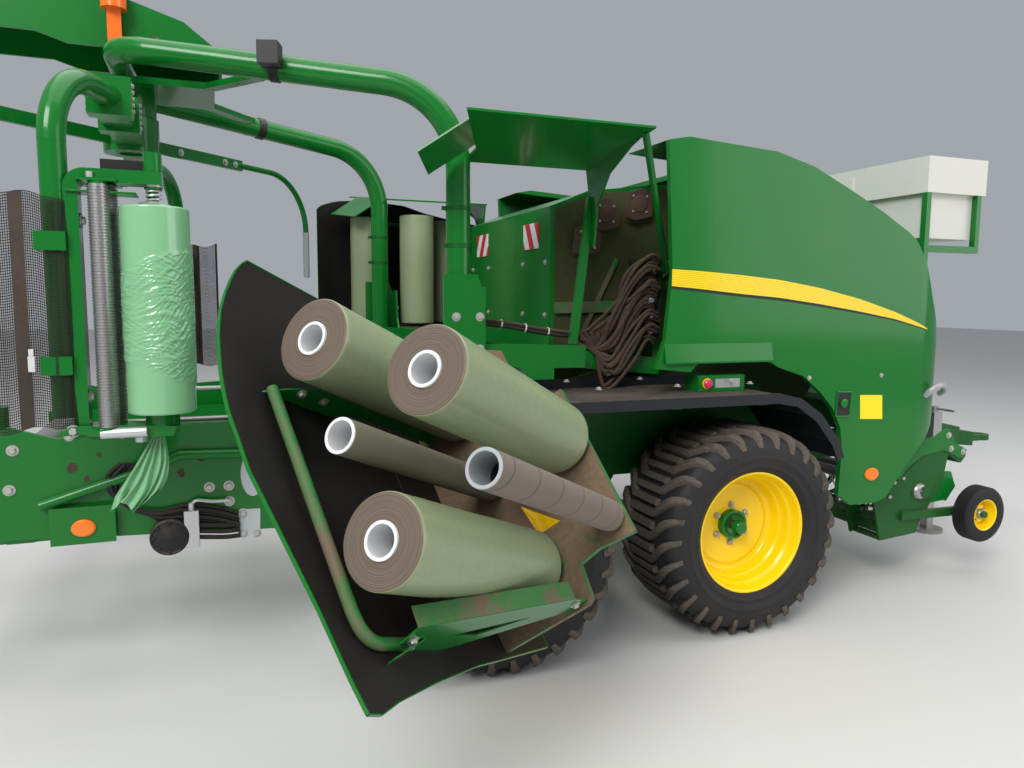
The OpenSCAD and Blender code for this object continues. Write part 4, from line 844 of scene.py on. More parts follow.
def make_boxes():
    """Film boxes, drawn in their closed place and swung with box_frame."""
    bottom = mm((-1132, 1460), (-950, 1200), (-60, 1165), (5, 1170), (45, 1540), (60, 1690), (100, 1930), (140, 2120),
                (165, 2200))
    top = mm((-1132, 2315), (-1118, 2331), (-1095, 2347), (-1065, 2360), (-1017, 2376), (-959, 2390), (-881, 2397),
             (-740, 2400), (-647, 2399), (-469, 2383), (-307, 2334), (-94, 2289), (80, 2262), (160, 2245),
             (165, 2200))
    # Where the sheet has points: evenly, closer at its front edge, and at the corners of its outline
    xs = sorted([-1.132 + 1.132 * k / 60 for k in range(60)] + [0.005 * k for k in range(33)] + [0.1648]
                + [q[0] for q in top[1:9]])
    rows = 40
    for side in SIDES:
        body = f"film_box_{side}"
        place = box_frame(side)
        skin = Kit()
        layers = []
        for inset in (0.0, SKIN_T):
            grid = []
            for x in xs:
                lo, hi = skin_limits(bottom, top, x)
                for j in range(rows + 1):
                    z = lo + (hi - lo) * j / rows
                    dent = 0.0022 * noise.noise(Vector((x * 2.3, z * 2.0, 5.0))) if inset else 0.0
                    grid.append((x, skin_y(x, inset) + dent, z))
            layers.append(grid)
        n = len(xs)
        faces = []
        off = len(layers[0])
        for a, b, c, d in grid_faces(n, rows + 1):
            faces += [(a, d, c, b), (b + off, c + off, d + off, a + off)]
        rim = [i * (rows + 1) for i in range(n)] + [(n - 1) * (rows + 1) + j for j in range(1, rows + 1)]
        rim += [i * (rows + 1) + rows for i in range(n - 2, -1, -1)] + [j for j in range(rows - 1, 0, -1)]
        edges = [(a, b, b + off, a + off) for a, b in zip(rim, rim[1:] + rim[:1])]
        skin.add(layers[0] + layers[1], faces + edges)
        skin.pair("box_skin", body, "box", side, place, angle=60, replaces=(f"film_box_{side}",))
        # Green edge along the sheet, outside and on its rim
        edge = Kit()
        ring = [(Vector(layers[0][k]), Vector(layers[1][k])) for k in rim]
        for (a0, b0), (a1, b1) in zip(ring, ring[1:] + ring[:1]):
            if (a1 - a0).length < 1e-4:
                continue
            mid = (a0 + a1) / 2
            out = (mid - Vector((-0.5, mid.y, 1.8))).normalized()
            tan = (a1 - a0).normalized()
            nrm = tan.cross((a0 - b0).normalized()).normalized()
            if nrm.dot(out) < 0:
                nrm = -nrm
            up = nrm * 0.0022
            over = (a0 - b0).normalized() * 0.0015
            low_out, low_in = nrm * 0.004, nrm * 0.001
            edge.add([a0 + over + up, a1 + over + up, b1 + up - over, b0 + up - over,
                      a0 + over - low_out, a1 + over - low_out, b1 - over - low_in, b0 - over - low_in],
                     [(0, 1, 2, 3), (0, 4, 5, 1), (3, 2, 6, 7), (4, 7, 6, 5)])
        edge.pair("box_edge", body, "green", side, place, angle=70)
        # Painted outside of the sheet
        shell = Kit()
        grid = []
        for x in xs:
            lo, hi = skin_limits(bottom, top, x)
            for z in (lo + (hi - lo) * j / 12 for j in range(13)):
                grid.append((x, skin_y(x, 0) - 0.0012, z))
        shell.add(grid, [(a, d, c, b) for a, b, c, d in grid_faces(n, 13)])
        shell.pair("box_paint", body, "green", side, place, angle=60)
        # Floor tray
        tray = Kit()
        plan = mm((-940, -1408), (-820, -1437), (-700, -1451), (-300, -1451), (20, -1431), (20, -1118), (8, -1100),
                  (-100, -1088), (-112, -1010), (-100, -885), (-640, -885), (-640, -1010), (-900, -1010),
                  (-940, -1060))
        h0, h1, h2 = (-0.364, -1.189), (-0.249, -1.084), (-0.247, -1.17)
        tray.plates([[*plan[:4], h0, *plan[10:]], [*plan[3:8], h1, h2, h0],
                     [*plan[7:11], h0, h1]], SKIN_T, (0, 0, FLOOR_Z), (1, 0, 0), (0, 1, 0))
        tray.pair("box_tray", body, "tray", side, place)
        lips = Kit()
        # Turned-down lips along the free edges, but none in the notch that closes round the portal's foot
        for a, b in [*zip(plan[4:10], plan[5:11]), (plan[13], plan[0])]:
            lips.beam((a[0], a[1], 1.474), (b[0], b[1], 1.474), 0.004, 0.026)
        lips.pair("box_lips", body, "green_worn", side, place)
        pegs = Kit()
        for dx, dy, full in STORED:
            x, y = STORED_X + dx, STORED_Y + dy
            pegs.lathe(mm((0, 0), (45, 0), (48.5, 4), (40, 12), (40, 28.5), (36.5, 30), (36.5, 130), (30, 150),
                          (0, 150)), (x, y, 1.481), n=36)
        pegs.pair("box_pegs", body, "green_worn", side, place)
        tube = Kit().tube(mm((-752, -1424, 2245), (-520, -1421, 2232), (-270, -1417, 2219), (-106, -1414.5, 2209.5),
                             (-73, -1414, 2206.5), (-36, -1414, 2196), (-10, -1414, 2173), (1.5, -1414, 2140),
                             (2, -1414, 2110), (2, -1414, 2030)), 0.0168, 18, 4)
        tube.pair("box_tube", body, "green_worn", side, place, angle=60)
        for x, web, flange, name in (
            (0.006, mm((-1437, 2085), (-1385, 2085), (-1310, 2115), (-1113, 1588), (-1113, 1484), (-1175, 1484),
                       (-1437, 1850)),
             ((-1.31, 2.115), (-1.113, 1.588)), "front"),
            (-0.755, mm((-1450, 2262), (-1400, 2190), (-1366, 2100), (-1366, 1484), (-1408, 1484), (-1408, 1880),
                        (-1450, 1990)),
             ((-1.366, 2.1), (-1.366, 1.484)), "rear"),
        ):
            web_kit = Kit()
            if name == "front":
                # Web with its long triangular window
                w0, w1, w2 = (-1.35, 1.925), (-1.225, 1.66), (-1.345, 1.8)
                webs = [[web[0], web[1], web[2], w0, w2, web[6]], [web[2], web[3], w1, w0],
                        [web[6], w2, w1, web[3], web[4], web[5]]]
            else:
                webs = [web]
            web_kit.plates(webs, 0.005, (x, 0, 0), (0, 1, 0), (0, 0, 1))
            web_kit.pair(f"box_web_{name}", body, "green", side, place)
            lip = Kit()
            (ya, za), (yb, zb) = flange
            d = Vector((0, yb - ya, zb - za)).normalized()
            a, b = Vector((x - 0.024, ya, za)) - d * 0.003, Vector((x - 0.024, yb, zb)) + d * 0.003
            lip.beam(a, b, 0.056, 0.005, up=d.cross(Vector((1, 0, 0))))
            lip.pair(f"box_flange_{name}", body, "green_worn", side, place, bevel=0.001)
        bits = Kit()
        for p in mm((6, -1372, 2060), (6, -1405, 2030), (-755, -1400, 2060), (-755, -1402, 2150), (6, -1140, 1530)):
            bits.bolt(Vector(p) + Vector((0.0052, 0, 0)), (1, 0, 0), 0.009)
        bits.pair("box_bolts", body, "bolt", side, place)
        strap = Kit()
        strap.plate(mm((-16, -100), (16, -100), (16, 20), (-16, 20)), 0.004, (0.04, -1.405, 2.105), (0, 0.96, 0.28),
                    (0.3, -0.26, 0.91))
        strap.pair("box_strap", body, "green", side, place, bevel=0.001)
        leg = Kit()
        leg.beam((-0.955, -1.4, 1.495), (-0.888, -1.466, 1.213), 0.04, 0.06, up=(1, 0, 0))
        axis = Matrix.Translation(HINGE_P) @ Matrix.Rotation(math.radians(90 + 49), 4, "Y")
        ears = Kit()
        for z in (-0.069, 0.055):
            ears.box(-0.075, 0.025, -0.05, 0.025, z, z + 0.014)
        ears.box(-0.076, -0.056, -0.05, 0.0, -0.069, 0.069)
        ears.cyl((0, 0, -0.072), (0, 0, 0.072), 0.015, 20, edge=0.002)
        leg.v += [axis @ v for v in ears.v]
        leg.f += [tuple(i + 8 for i in f) for f in ears.f]
        leg.pair("box_leg", body, "green", side, place, bevel=0.0015)
        # Seam where the sheets overlap
        seam = Kit()
        for x0, x1, z in ((-1.08, -0.72, 1.7), (-0.72, -0.3, 1.69)):
            rings = []
            for x in (x0 + (x1 - x0) * k / 20 for k in range(21)):
                near, far = skin_y(x, 0.0082), skin_y(x, 0.0105)
                rings.append([(x, near, z), (x, far, z), (x, far, z + 0.022), (x, near, z + 0.022)])
            seam.rings(rings)
        seam.pair("box_seam", body, "box", side, place)


# Satellite with its dispensers

def net_surface(u, t):
    """Point of the net: u from the dispenser (0) round the arm to its free edge (1), t from low to high."""
    z = 1.215 + (0.795 + 0.035 * u) * t
    if u < 0.35:
        a = math.radians(-10 - 115 * u / 0.35)
        p = Vector((-0.143 + 0.052 * math.cos(a), 0.052 * math.sin(a), z))
    else:
        q = (u - 0.35) / 0.65
        a = math.radians(-125)
        start = Vector((-0.143 + 0.052 * math.cos(a), 0.052 * math.sin(a), z))
        p = start + Vector((-0.215 * q, -0.02 * q, 0.012 * math.sin(q * 7)))
    fold = 0.006 * math.sin(u * 24 + t * 3) + 0.005 * math.sin(u * 9 - t * 5)
    return p + Vector((0, -abs(fold) - 0.002, 0))


def make_net(side, place):
    """Open net in front of a satellite arm, of crossing threads, with its hems and buckle."""
    threads = Kit()
    cols, rows, width = 52, 88, 0.0028
    for k in range(cols + 1):
        u = k / cols
        line = [net_surface(u, j / 22) for j in range(23)]
        across = (net_surface(min(u + 0.01, 1), 0.5) - net_surface(max(u - 0.01, 0), 0.5)).normalized() * (width / 2)
        threads.rings([[q - across, q + across] for q in line], caps=False, closed=False)
    for k in range(rows + 1):
        t = k / rows
        line = [net_surface(j / cols, t) for j in range(cols + 1)]
        up = Vector((0, 0, width / 2))
        threads.rings([[q - up, q + up] for q in line], caps=False, closed=False)
    net = threads.done(f"net_{side}", "satellite", "net", place, angle=180)
    hems = Kit()
    for u0, u1 in ((0.53, 0.66), (0.965, 1.0)):
        rings = []
        for j in range(31):
            t = j / 30
            a, b = net_surface(u0, t), net_surface(u1, t)
            lift = Vector((0, -0.0022, 0))
            rings.append([a + lift, (a + b) / 2 + lift * 1.6, b + lift, b - lift * 0.4, a - lift * 0.4])
        hems.rings(rings)
    hems.done(f"net_hem_{side}", "satellite", "hem", place)
    tag = Kit()
    p = net_surface(0.53, 0.28)
    tag.box(p.x - 0.01, p.x + 0.012, p.y - 0.01, p.y - 0.005, p.z - 0.035, p.z + 0.02)
    tag.box(p.x - 0.007, p.x + 0.009, p.y - 0.009, p.y - 0.005, p.z + 0.02, p.z + 0.045)
    tag.done(f"net_buckle_{side}", "satellite", "plain_white", place, bevel=0.002)


def make_dispensers():
    """What stands round the film rolls on the satellite, its clamps' bolts and the safety arms' sleeves."""
    for side in SIDES:
        place = satellite_frame(side) @ Matrix.Translation((0, -ORBIT_R, 0))
        sleeves = Kit()
        for px, py in ((-0.002, -0.045), (0.012, 0.095)):
            prof = [(0, 1.212)]
            z = 1.212
            while z < 2.068:
                prof += [(0.0312, z), (0.0345, z + 0.002), (0.0345, z + 0.0055), (0.0312, z + 0.0075)]
                z += 0.0105
            prof += [(0.0312, 2.074), (0, 2.074)]
            sleeves.lathe(prof, (px, py, 0), n=28)
        sleeves.done(f"stretch_rollers_{side}", "satellite", "steel", place, angle=25)
        rod = Kit().cyl((-0.02, 0.03, 1.206), (-0.02, 0.03, 2.086), 0.016, 18)
        rod.box(-0.04, 0.045, -0.03, 0.125, 2.07, 2.078)
        rod.box(-0.105, 0.12, -0.05, 0.06, 2.045, 2.052)
        rod.plate(mm((-165, 1196), (-120, 1222), (-70, 1222), (-20, 1198), (-20, 1190), (-165, 1190)), 0.01,
                  (0, -0.064, 0))
        rod.done(f"dispenser_trim_{side}", "satellite", "green", place, bevel=0.001)
        spring = Kit()
        coil = [(0.174 + 0.024 * math.cos(a * 0.45), 0.024 * math.sin(a * 0.45), 2.022 + 0.0011 * a)
                for a in range(56)]
        spring.tube(coil, 0.0042, 6, 1)
        spring.lathe(mm((0, 0), (60, 0), (64, 4), (45, 14), (30, 18), (0, 18)), (0.174, 0, 2.0075), n=40)
        spring.lathe(mm((0, 0), (34, 0), (34, 6), (0, 6)), (0.174, 0, 2.078), n=32)
        spring.done(f"spindle_spring_{side}", "satellite", "zinc", place)
        cover = Kit()
        cover.box(-0.055, 0.08, -0.03, 0.105, 2.09, 2.088)
        cover.box(0.0, 0.14, 0.03, 0.12, 2.092, 2.175)
        cover.done(f"gear_box_{side}", "satellite", "black", place, bevel=0.006)
        bolts = Kit()
        for z in (1.32, 1.95):
            bolts.bolt((-0.0655, 0.0, z), (1, 0, 0), 0.013)
            bolts.lathe(mm((0, 0), (26, 0), (26, 4), (0, 4)), (-0.0655, 0.0, z), (1, 0, 0), 24)
        for x in (-0.13, 0.04):
            bolts.bolt((x, -0.0605, 1.187), (0, -1, 0), 0.01)
        bolts.bolt((-0.115, -0.066, 1.205), (0, -1, 0), 0.013)
        bolts.cyl((-0.026, -0.045, 2.086), (-0.026, -0.045, 2.116), 0.012, 16)
        bolts.done(f"dispenser_bolts_{side}", "satellite", "bolt", place)
        bar = Kit().cyl((-0.03, -0.058, 1.19), (0.125, -0.07, 1.193), 0.019, 20, edge=0.002)
        bar.cyl((0.1, -0.03, 1.15), (0.1, -0.03, 1.193), 0.022, 20)
        bar.done(f"film_clamp_{side}", "satellite", "zinc", place)
        make_net(side, place)
    # Bolts of the clamps on the satellite's beam, and grey sleeves on the safety arms
    for side in SIDES:
        place = satellite_frame(side)
        kit = Kit()
        for y in (-0.855, -0.515):
            for x in (-0.081, 0.081):
                for z in (2.43, 2.455, 2.48, 2.505, 2.53):
                    kit.bolt((x, y, z), (1 if x > 0 else -1, 0, 0), 0.008)
        rot = Matrix.Rotation(math.radians(45), 4, "Z")
        for x in (0.13, 0.3, 0.62, 0.7):
            kit.bolt(rot @ Vector((x, -0.0125, 2.46)), rot @ Vector((0, -1, 0)), 0.011)
        kit.done(f"beam_bolts_{side}", "satellite", "bolt", place)
        grip = Kit().tube([rot @ Vector((1.34, 0, z)) for z in (1.822, 1.9, 1.98, 2.06, 2.115)], 0.0205, 16, 2)
        grip.done(f"arm_sleeve_{side}", "satellite", "grey_plate", place)


# Marker boards, tailgate and chamber

# Bearings on the tailgate's sides: along, height and half the size of their plates
BEARINGS = ((0.13, 2.14, 0.072), (0.33, 2.2, 0.07), (0.02, 2.0, 0.068), (0.15, 1.5, 0.066))
BEARING_Y = 0.7103
BOSS_Y = 0.715
REAR_X = 0.5 - 0.66 - 0.02  # outer face of the tailgate's rear wall
GATE_Y = 0.6703  # outer face of the tailgate's side wall


def make_baler():
    """Marker plates, seams, bolts, bearings and rails of the tailgate."""
    boards = Kit()
    for y in (-0.42, 0.42):
        boards.box(REAR_X - 0.0055, REAR_X - 0.0005, y - 0.11, y + 0.11, 1.96, 2.1)
    boards.done("marker_plates", "tailgate", "white", bevel=0.001, replaces=("marker_boards",))
    seams = Kit()
    rim = mm((-181.2, 1255), (-181.2, 2165), (50, 2261.5), (600, 2331.5))
    for y in (-0.655, 0.655, 0.0):
        for (x0, z0), (x1, z1) in zip(rim, rim[1:]):
            seams.beam((x0, y, z0), (x1, y, z1), 0.004, 0.003)
    seams.done("tailgate_seams", "tailgate", "black")
    bolts = Kit()
    for y in (-0.62, -0.3, 0.3, 0.62):
        for z in (1.32, 1.6, 1.88):
            bolts.bolt((REAR_X - 0.001, y, z), (-1, 0, 0), 0.009)
    for s in (-1, 1):
        for x, z, _ in BEARINGS:
            for a in range(4):
                dx, dz = 0.058 * math.cos(a * math.pi / 2 + 0.78), 0.058 * math.sin(a * math.pi / 2 + 0.78)
                bolts.bolt((x + dx, s * BOSS_Y, z + dz), (0, s, 0), 0.006, False)
    bolts.done("tailgate_bolts", "tailgate", "bolt")
    wall = Kit()
    for s in (-1, 1):
        wall.plate(mm((-150, 1260), (-150, 2155), (55, 2245), (610, 2312), (700, 1850), (690, 1380), (495, 1300),
                      (495, 960), (130, 960), (-35, 1030)), -0.0015 * s, (0, s * GATE_Y, 0), (1, 0, 0), (0, 0, 1))
    wall.done("gate_wall", "tailgate", "olive")
    caps = Kit()
    plates = Kit()
    for s in (-1, 1):
        for x, z, r in BEARINGS:
            plates.plate([(-r * 1.3, -r), (-r * 0.3, -r * 1.25), (r * 1.1, -r * 0.9), (r * 1.2, r * 0.5),
                          (r * 0.2, r * 1.25), (-r * 1.1, r * 0.8)], -0.005 * s, (x, s * BEARING_Y, z), (1, 0, 0),
                          (0, 0, 1))
            caps.lathe([(0, 0), (r * 0.62, 0), (r * 0.64, 0.003), (r * 0.6, 0.006), (r * 0.4, 0.007),
                        (r * 0.2, 0.009), (0, 0.0095)], (x, s * BOSS_Y, z), (0, s, 0), 28)
    plates.done("bearing_plates", "tailgate", "green_rusty", bevel=0.001)
    caps.done("bearing_caps", "tailgate", "rust")
    # Ribs and rails on the tailgate's side walls
    rails = Kit()
    for s in (-1, 1):
        y = s * 0.682
        rails.beam((-0.15, y, 1.64), (0.249, y, 1.648), 0.028, 0.06)
        rails.beam((0.235, y, 1.648), (0.59, y, 1.905), 0.028, 0.055)
        rails.beam((-0.02, y, 1.44), (0.215, y, 1.905), 0.022, 0.022)
        rails.beam((-0.12, y, 1.22), (0.4, y, 1.36), 0.022, 0.045)
    rails.done("gate_rails", "tailgate", "green_worn", bevel=0.002)


# Hoses, from the same points as part.scad

def hose_routes():
    """Paths of the four hoses from the valve block up the portal to the hub."""
    turn, rise = math.radians(18), math.radians(6)
    portal_side = Vector((-math.cos(turn) * math.cos(rise), math.sin(turn) * math.cos(rise), math.sin(rise)))
    bend_r, foot, z0 = 0.38, (-0.76, -0.93), 2.285
    z1 = z0 + bend_r * math.sin(math.pi / 2 - rise)
    slope = math.atan2(portal_side.z, -portal_side.x)
    beta = math.atan2(portal_side.y, math.hypot(portal_side.x, portal_side.z))
    rear_z = z1 + 1.05 * math.tan(rise) + 0.2 * (1 - math.sin(beta)) * math.sin(slope)
    heads = [
        mm((300, -898.5, 1840), (297, -912, 1842), (262, -920, 1835), (205, -915, 1785), (150, -900, 1725),
           (95, -878, 1655), (20, -845, 1572)),
        mm((300, -898.5, 1760), (297, -912, 1762), (262, -920, 1755), (200, -915, 1712), (140, -898, 1658),
           (80, -870, 1590), (10, -835, 1532)),
        mm((235, -855, 1570), (218, -855.5, 1566), (190, -858, 1540), (130, -855, 1486), (50, -842, 1470),
           (-5, -826, 1478)),
        mm((235, -835, 1520), (216, -835.5, 1515), (185, -838, 1490), (120, -834, 1446), (45, -822, 1438),
           (-8, -806, 1462)),
    ]
    trunk = mm((-60, -806, 1500), (-190, -806, 1512), (-300, -806, 1526), (-440, -806, 1552), (-560, -810, 1566),
               (-660, -822, 1580), (-730, -840, 1630), (-755, -850, 1720), (-758, -850, 1900), (-758, -850, 2100))
    out = 0.08 * Vector((math.sin(turn), math.cos(turn), 0))
    bend = []
    for a in (0, 21, 42, 63, 84):
        b = bend_r * (1 - math.cos(math.radians(a)))
        bend.append(Vector((foot[0] - b * math.cos(turn), foot[1] + b * math.sin(turn),
                            z0 + bend_r * math.sin(math.radians(a)))) + out)
    last = bend[-1]
    run = [last + t * portal_side for t in (0.3, 0.56, 0.8)]
    close = [last + 0.93 * portal_side + Vector((0.02, 0.06, 0.03)), Vector((-2.03, -0.33, rear_z + 0.07)),
             Vector((-2.06, -0.2455, rear_z + 0.11))]
    routes = []
    for i in range(4):
        j, k2 = (-1 if i % 2 == 0 else 1), (1 if i < 2 else -1)
        shift, turned = 0.01 * Vector((0, j, k2)), 0.01 * Vector((k2, j, 0))
        pts = [Vector(p) for p in heads[i]] + [Vector(p) + (shift if k < 6 else turned) for k, p in enumerate(trunk)]
        pts += [bend[k] + (turned if k < 2 else shift) for k in range(5)] + [q + shift for q in run + close[:2]]
        pts.append(close[2] + Vector((shift.y, 0, shift.z)))
        routes.append(pts)
    return routes


def make_hoses():
    """The four routed hoses, the shorter ones at the valve block, and their fittings."""
    for i, pts in enumerate(hose_routes()):
        Kit().tube(pts, 0.0092, 12, 4).done(f"hose_{i + 1}", "frame", "hose_dusty" if i != 2 else "hose", angle=60,
                                          replaces=("hoses",) if i == 0 else ())
    # Shorter hoses between the valve block, the front post and the chamber's wall
    rnd = random.Random(5)
    mess = Kit()
    for k in range(24):
        t = k / 23
        z = 1.46 + 0.44 * t
        sag = rnd.uniform(0.05, 0.16)
        y = -0.874 - rnd.uniform(0.002, 0.04)
        end = rnd.uniform(-0.1, 0.05)
        mess.tube([Vector((0.358 - rnd.uniform(0, 0.04), y + 0.004, z)),
                   Vector((0.262 + rnd.uniform(-0.01, 0.02), y - 0.006, z + 0.012)),
                   Vector((0.17 + rnd.uniform(-0.03, 0.03), y, z - 0.05 - sag * 0.5)),
                   Vector((0.09 + rnd.uniform(-0.04, 0.03), y + 0.012, z - 0.12 - sag - 0.1 * t)),
                   Vector((0.02 + rnd.uniform(-0.04, 0.03), -0.846, max(z - 0.2 - sag - 0.16 * t, 1.43))),
                   Vector((end, -0.838 + rnd.uniform(-0.012, 0.006), 1.452 + 0.075 * rnd.random()))],
                   rnd.choice((0.009, 0.0105, 0.012, 0.0135)), 10, 5)
    mess.done("valve_hoses", "frame", "hose_dusty", angle=60)
    loops = Kit()
    for k in range(6):
        loops.tube([(-0.06, -0.832, 1.458 + 0.006 * k), (0.02, -0.85, 1.435 + 0.01 * k),
                    (0.11, -0.868, 1.432 + 0.012 * k), (0.19, -0.88, 1.47 + 0.02 * k),
                    (0.262, -0.884, 1.52 + 0.045 * k)], 0.008 + 0.0006 * (k % 3), 10, 5)
    loops.done("valve_loops", "frame", "hose", angle=60)
    ties = Kit()
    for x in (-0.245, -0.37, -0.5):
        p = Vector((x, -0.806, lookup(mm((-500, 1559), (-440, 1552), (-300, 1526), (-190, 1512)), x)))
        ties.lathe(mm((21, -4), (23.5, -3), (23.5, 3), (21, 4)), p, (1, 0, -0.15), 18)
    ties.done("hose_ties", "frame", "plain_white")
    fittings = Kit()
    for z in (1.523, 1.603, 1.683, 1.763, 1.843):
        fittings.lathe(mm((0, 0), (16, 0), (16, 12), (12, 14), (12, 24), (0, 24)), (0.3, -0.8945, z), (0, -1, 0), 6)
    for y in (-0.855, -0.835):
        fittings.lathe(mm((0, 0), (13, 0), (13, 20), (10, 22), (10, 35), (0, 35)),
                       (0.243, y, 1.57 if y < -0.84 else 1.52), (-1, 0, -0.4), 6)
    fittings.done("hose_fittings", "frame", "zinc")


# Bodywork

PANEL_Y = 1.2
PANEL_BEND_X, PANEL_BEND_R = 1.843, 0.42  # where the panel starts to curve in, and how tightly


def panel_strip(kit, lift, low_edge, high_edge, x0=0.236, x1=1.93, thick=0.0012):
    """A strip laid on a side panel's outer face between two edges that are functions of x."""
    steps = 46
    rings = []
    for k in range(steps + 1):
        x = x0 + (x1 - x0) * k / steps
        if x <= PANEL_BEND_X:
            p, nrm = Vector((x, PANEL_Y, 0)), Vector((0, 1, 0))
        else:
            a = math.asin(min((x - PANEL_BEND_X) / PANEL_BEND_R, 1))
            p = Vector((x, PANEL_Y - PANEL_BEND_R + PANEL_BEND_R * math.cos(a), 0))
            nrm = Vector((math.sin(a), math.cos(a), 0))
        za, zb = low_edge(x), high_edge(x)
        out = []
        for off, z in ((0, za), (thick, za), (thick, zb), (0, zb)):
            q = p + nrm * (lift + off)
            out.append((q.x, -q.y, z))
        rings.append(out)
    kit.rings(rings)


def make_panels():
    """Stripe, plates, latch, handle and reflector of the side panels."""
    top = mm((232, 1834), (394, 1828), (632, 1813), (880, 1792), (1142, 1754), (1418, 1698), (1673, 1629),
             (1787, 1590), (1865, 1562), (1940, 1533), (2000, 1508))
    low = mm((232, 1743), (398, 1730), (637, 1708), (886, 1690), (1148, 1660), (1424, 1623), (1677, 1585),
             (1940, 1527), (2000, 1504))
    for side in SIDES:
        body = f"panel_{side}"
        stripe = Kit()
        count = 10
        for k in range(count):
            def upper(x, k=k):
                a, b = lookup(low, x), lookup(top, x)
                return b - (b - a) * (k + 0.06) / (count + 1.2)

            def lower(x, k=k):
                a, b = lookup(low, x), lookup(top, x)
                return b - (b - a) * (k + 0.94) / (count + 1.2)
            panel_strip(stripe, 0.0004, lower, upper)
        stripe.pair("stripe", body, "yellow", side)
        line = Kit()
        panel_strip(line, 0.0003, lambda x: lookup(low, x) - 0.003,
                    lambda x: lookup(low, x) + (lookup(top, x) - lookup(low, x)) * 0.085)
        line.pair("stripe_line", body, "black", side)
        y = -PANEL_Y - 0.0005
        plates = Kit().plate(mm((1456, 1175), (1615, 1169), (1626, 1034), (1466, 1042)), 0.0012, (0, y, 0))
        plates.pair("side_plate", body, "yellow_plate", side)
        latch = Kit()
        latch.plate(mm((1301, 1192), (1385, 1189), (1379, 1068), (1296, 1070)), 0.0012, (0, y, 0))
        latch.pair("latch_recess", body, "black", side)
        latch_rim = Kit()
        corners = (1.295, 1.198), (1.391, 1.195), (1.385, 1.062), (1.29, 1.064)
        for a, b in zip(corners, corners[1:] + corners[:1]):
            latch_rim.tube([(a[0], y - 0.002, a[1]), (b[0], y - 0.002, b[1])], 0.0045, 8, 1)
        latch_rim.lathe(mm((0, 0), (22, 0), (24, 4), (24, 10), (14, 12), (0, 12)), (1.34, y, 1.135), (0, -1, 0), 28)
        latch_rim.pair("latch", body, "green", side)
        handle = Kit()
        handle.tube(mm((1955, -1186, 1150), (1965, -1215, 1185), (2010, -1225, 1212), (2075, -1205, 1205),
                       (2120, -1170, 1175), (2130, -1130, 1150)), 0.017, 12, 5)
        handle.pair("handle", body, "grey_plate", side)
        light = Kit()
        light.lathe(mm((0, 0), (36, 0), (36, 7), (30, 12), (0, 13)), (1.569, y, 0.725), (0, -1, 0), 40)
        light.v = [Vector((1.569 + (v.x - 1.569) * 1.35, v.y, v.z)) for v in light.v]
        light.pair("side_reflector", body, "reflex_orange", side)
        seam = Kit()
        panel_strip(seam, 0.0003, lambda x: 1.4035 + 0.035 * (x - 0.24) - 0.0035,
                    lambda x: 1.4035 + 0.035 * (x - 0.24) + 0.0015, 0.3, 1.93, 0.0016)
        seam.pair("panel_crease", body, "green", side)
        edge = Kit()
        for x in (0.6, 1.1, 1.6):
            edge.bolt((x, y, 1.28), (0, -1, 0), 0.007)
        edge.pair("panel_bolts", body, "bolt", side)


def make_mudguards():
    """Bolts on top of the mudguards."""
    for side in SIDES:
        low, high = ([c + e for c, e in zip(corner, EYE)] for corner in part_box(f"mudguard_{side}"))
        bolts = Kit()
        for x in (-1.05, -0.62, -0.2, 0.22, 0.64):
            if low[0] + 0.05 < x < high[0] - 0.05:
                for y in (-1.3, -0.95):
                    bolts.bolt((x, y, high[2] - 0.0005), (0, 0, 1), 0.01)
        bolts.pair("guard_bolts", "frame", "bolt", side)


def make_front():
    """Lid, stop button and plate of the control box."""
    box = Kit()
    box.box(0.424, 0.696, -1.1822, -1.1795, 1.2293, 1.301)
    box.box(0.424, 0.696, -1.176, -1.064, 1.3045, 1.3085)
    box.done("control_lid", "frame", "green", bevel=0.0012)
    button = Kit().lathe(mm((0, 0), (16, 0), (16, 6), (22, 8), (22, 18), (18, 22), (0, 23)), (0.47, -1.182, 1.268),
                         (0, -1, 0), 32)
    button.done("stop_button", "frame", "button")
    ring = Kit().lathe(mm((17, 0), (27, 0), (27, 4.5), (17, 4.5)), (0.47, -1.1822, 1.268), (0, -1, 0), 32)
    ring.done("button_ring", "frame", "yellow")
    plate = Kit().box(0.52, 0.668, -1.184, -1.1822, 1.245, 1.29)
    for x in (0.527, 0.661):
        for z in (1.2515, 1.2835):
            plate.lathe(mm((0, 0), (3.5, 0), (3, 1.8), (0, 2.4)), (x, -1.184, z), (0, -1, 0), 12)
    plate.done("button_plate", "frame", "grey_plate")


# Wrapper's frame, lamps and tank

def make_wrapper():
    """Bolts of the portal's foot and the bands round it."""
    for side in SIDES:
        hw = Kit()
        for x in (-0.79, -0.675):
            for z in (1.45, 1.6):
                hw.bolt((x, -1.0005, z), (0, -1, 0), 0.012)
        for z in (1.46, 1.62):
            hw.bolt((-0.6455, -0.93, z), (1, 0, 0), 0.011)
        hw.pair("foot_bolts", "frame", "bolt", side)
        bands = Kit()
        for z in (1.93, 2.1):
            bands.lathe([(0.0572, z - 0.011), (0.0592, z - 0.01), (0.0592, z + 0.01), (0.0572, z + 0.011)],
                        (-0.76, -0.93, 0), n=44)
            bands.box(-0.838, -0.817, -0.938, -0.922, z - 0.009, z + 0.009)
        bands.pair("portal_bands", "frame", "green_dusty", side)


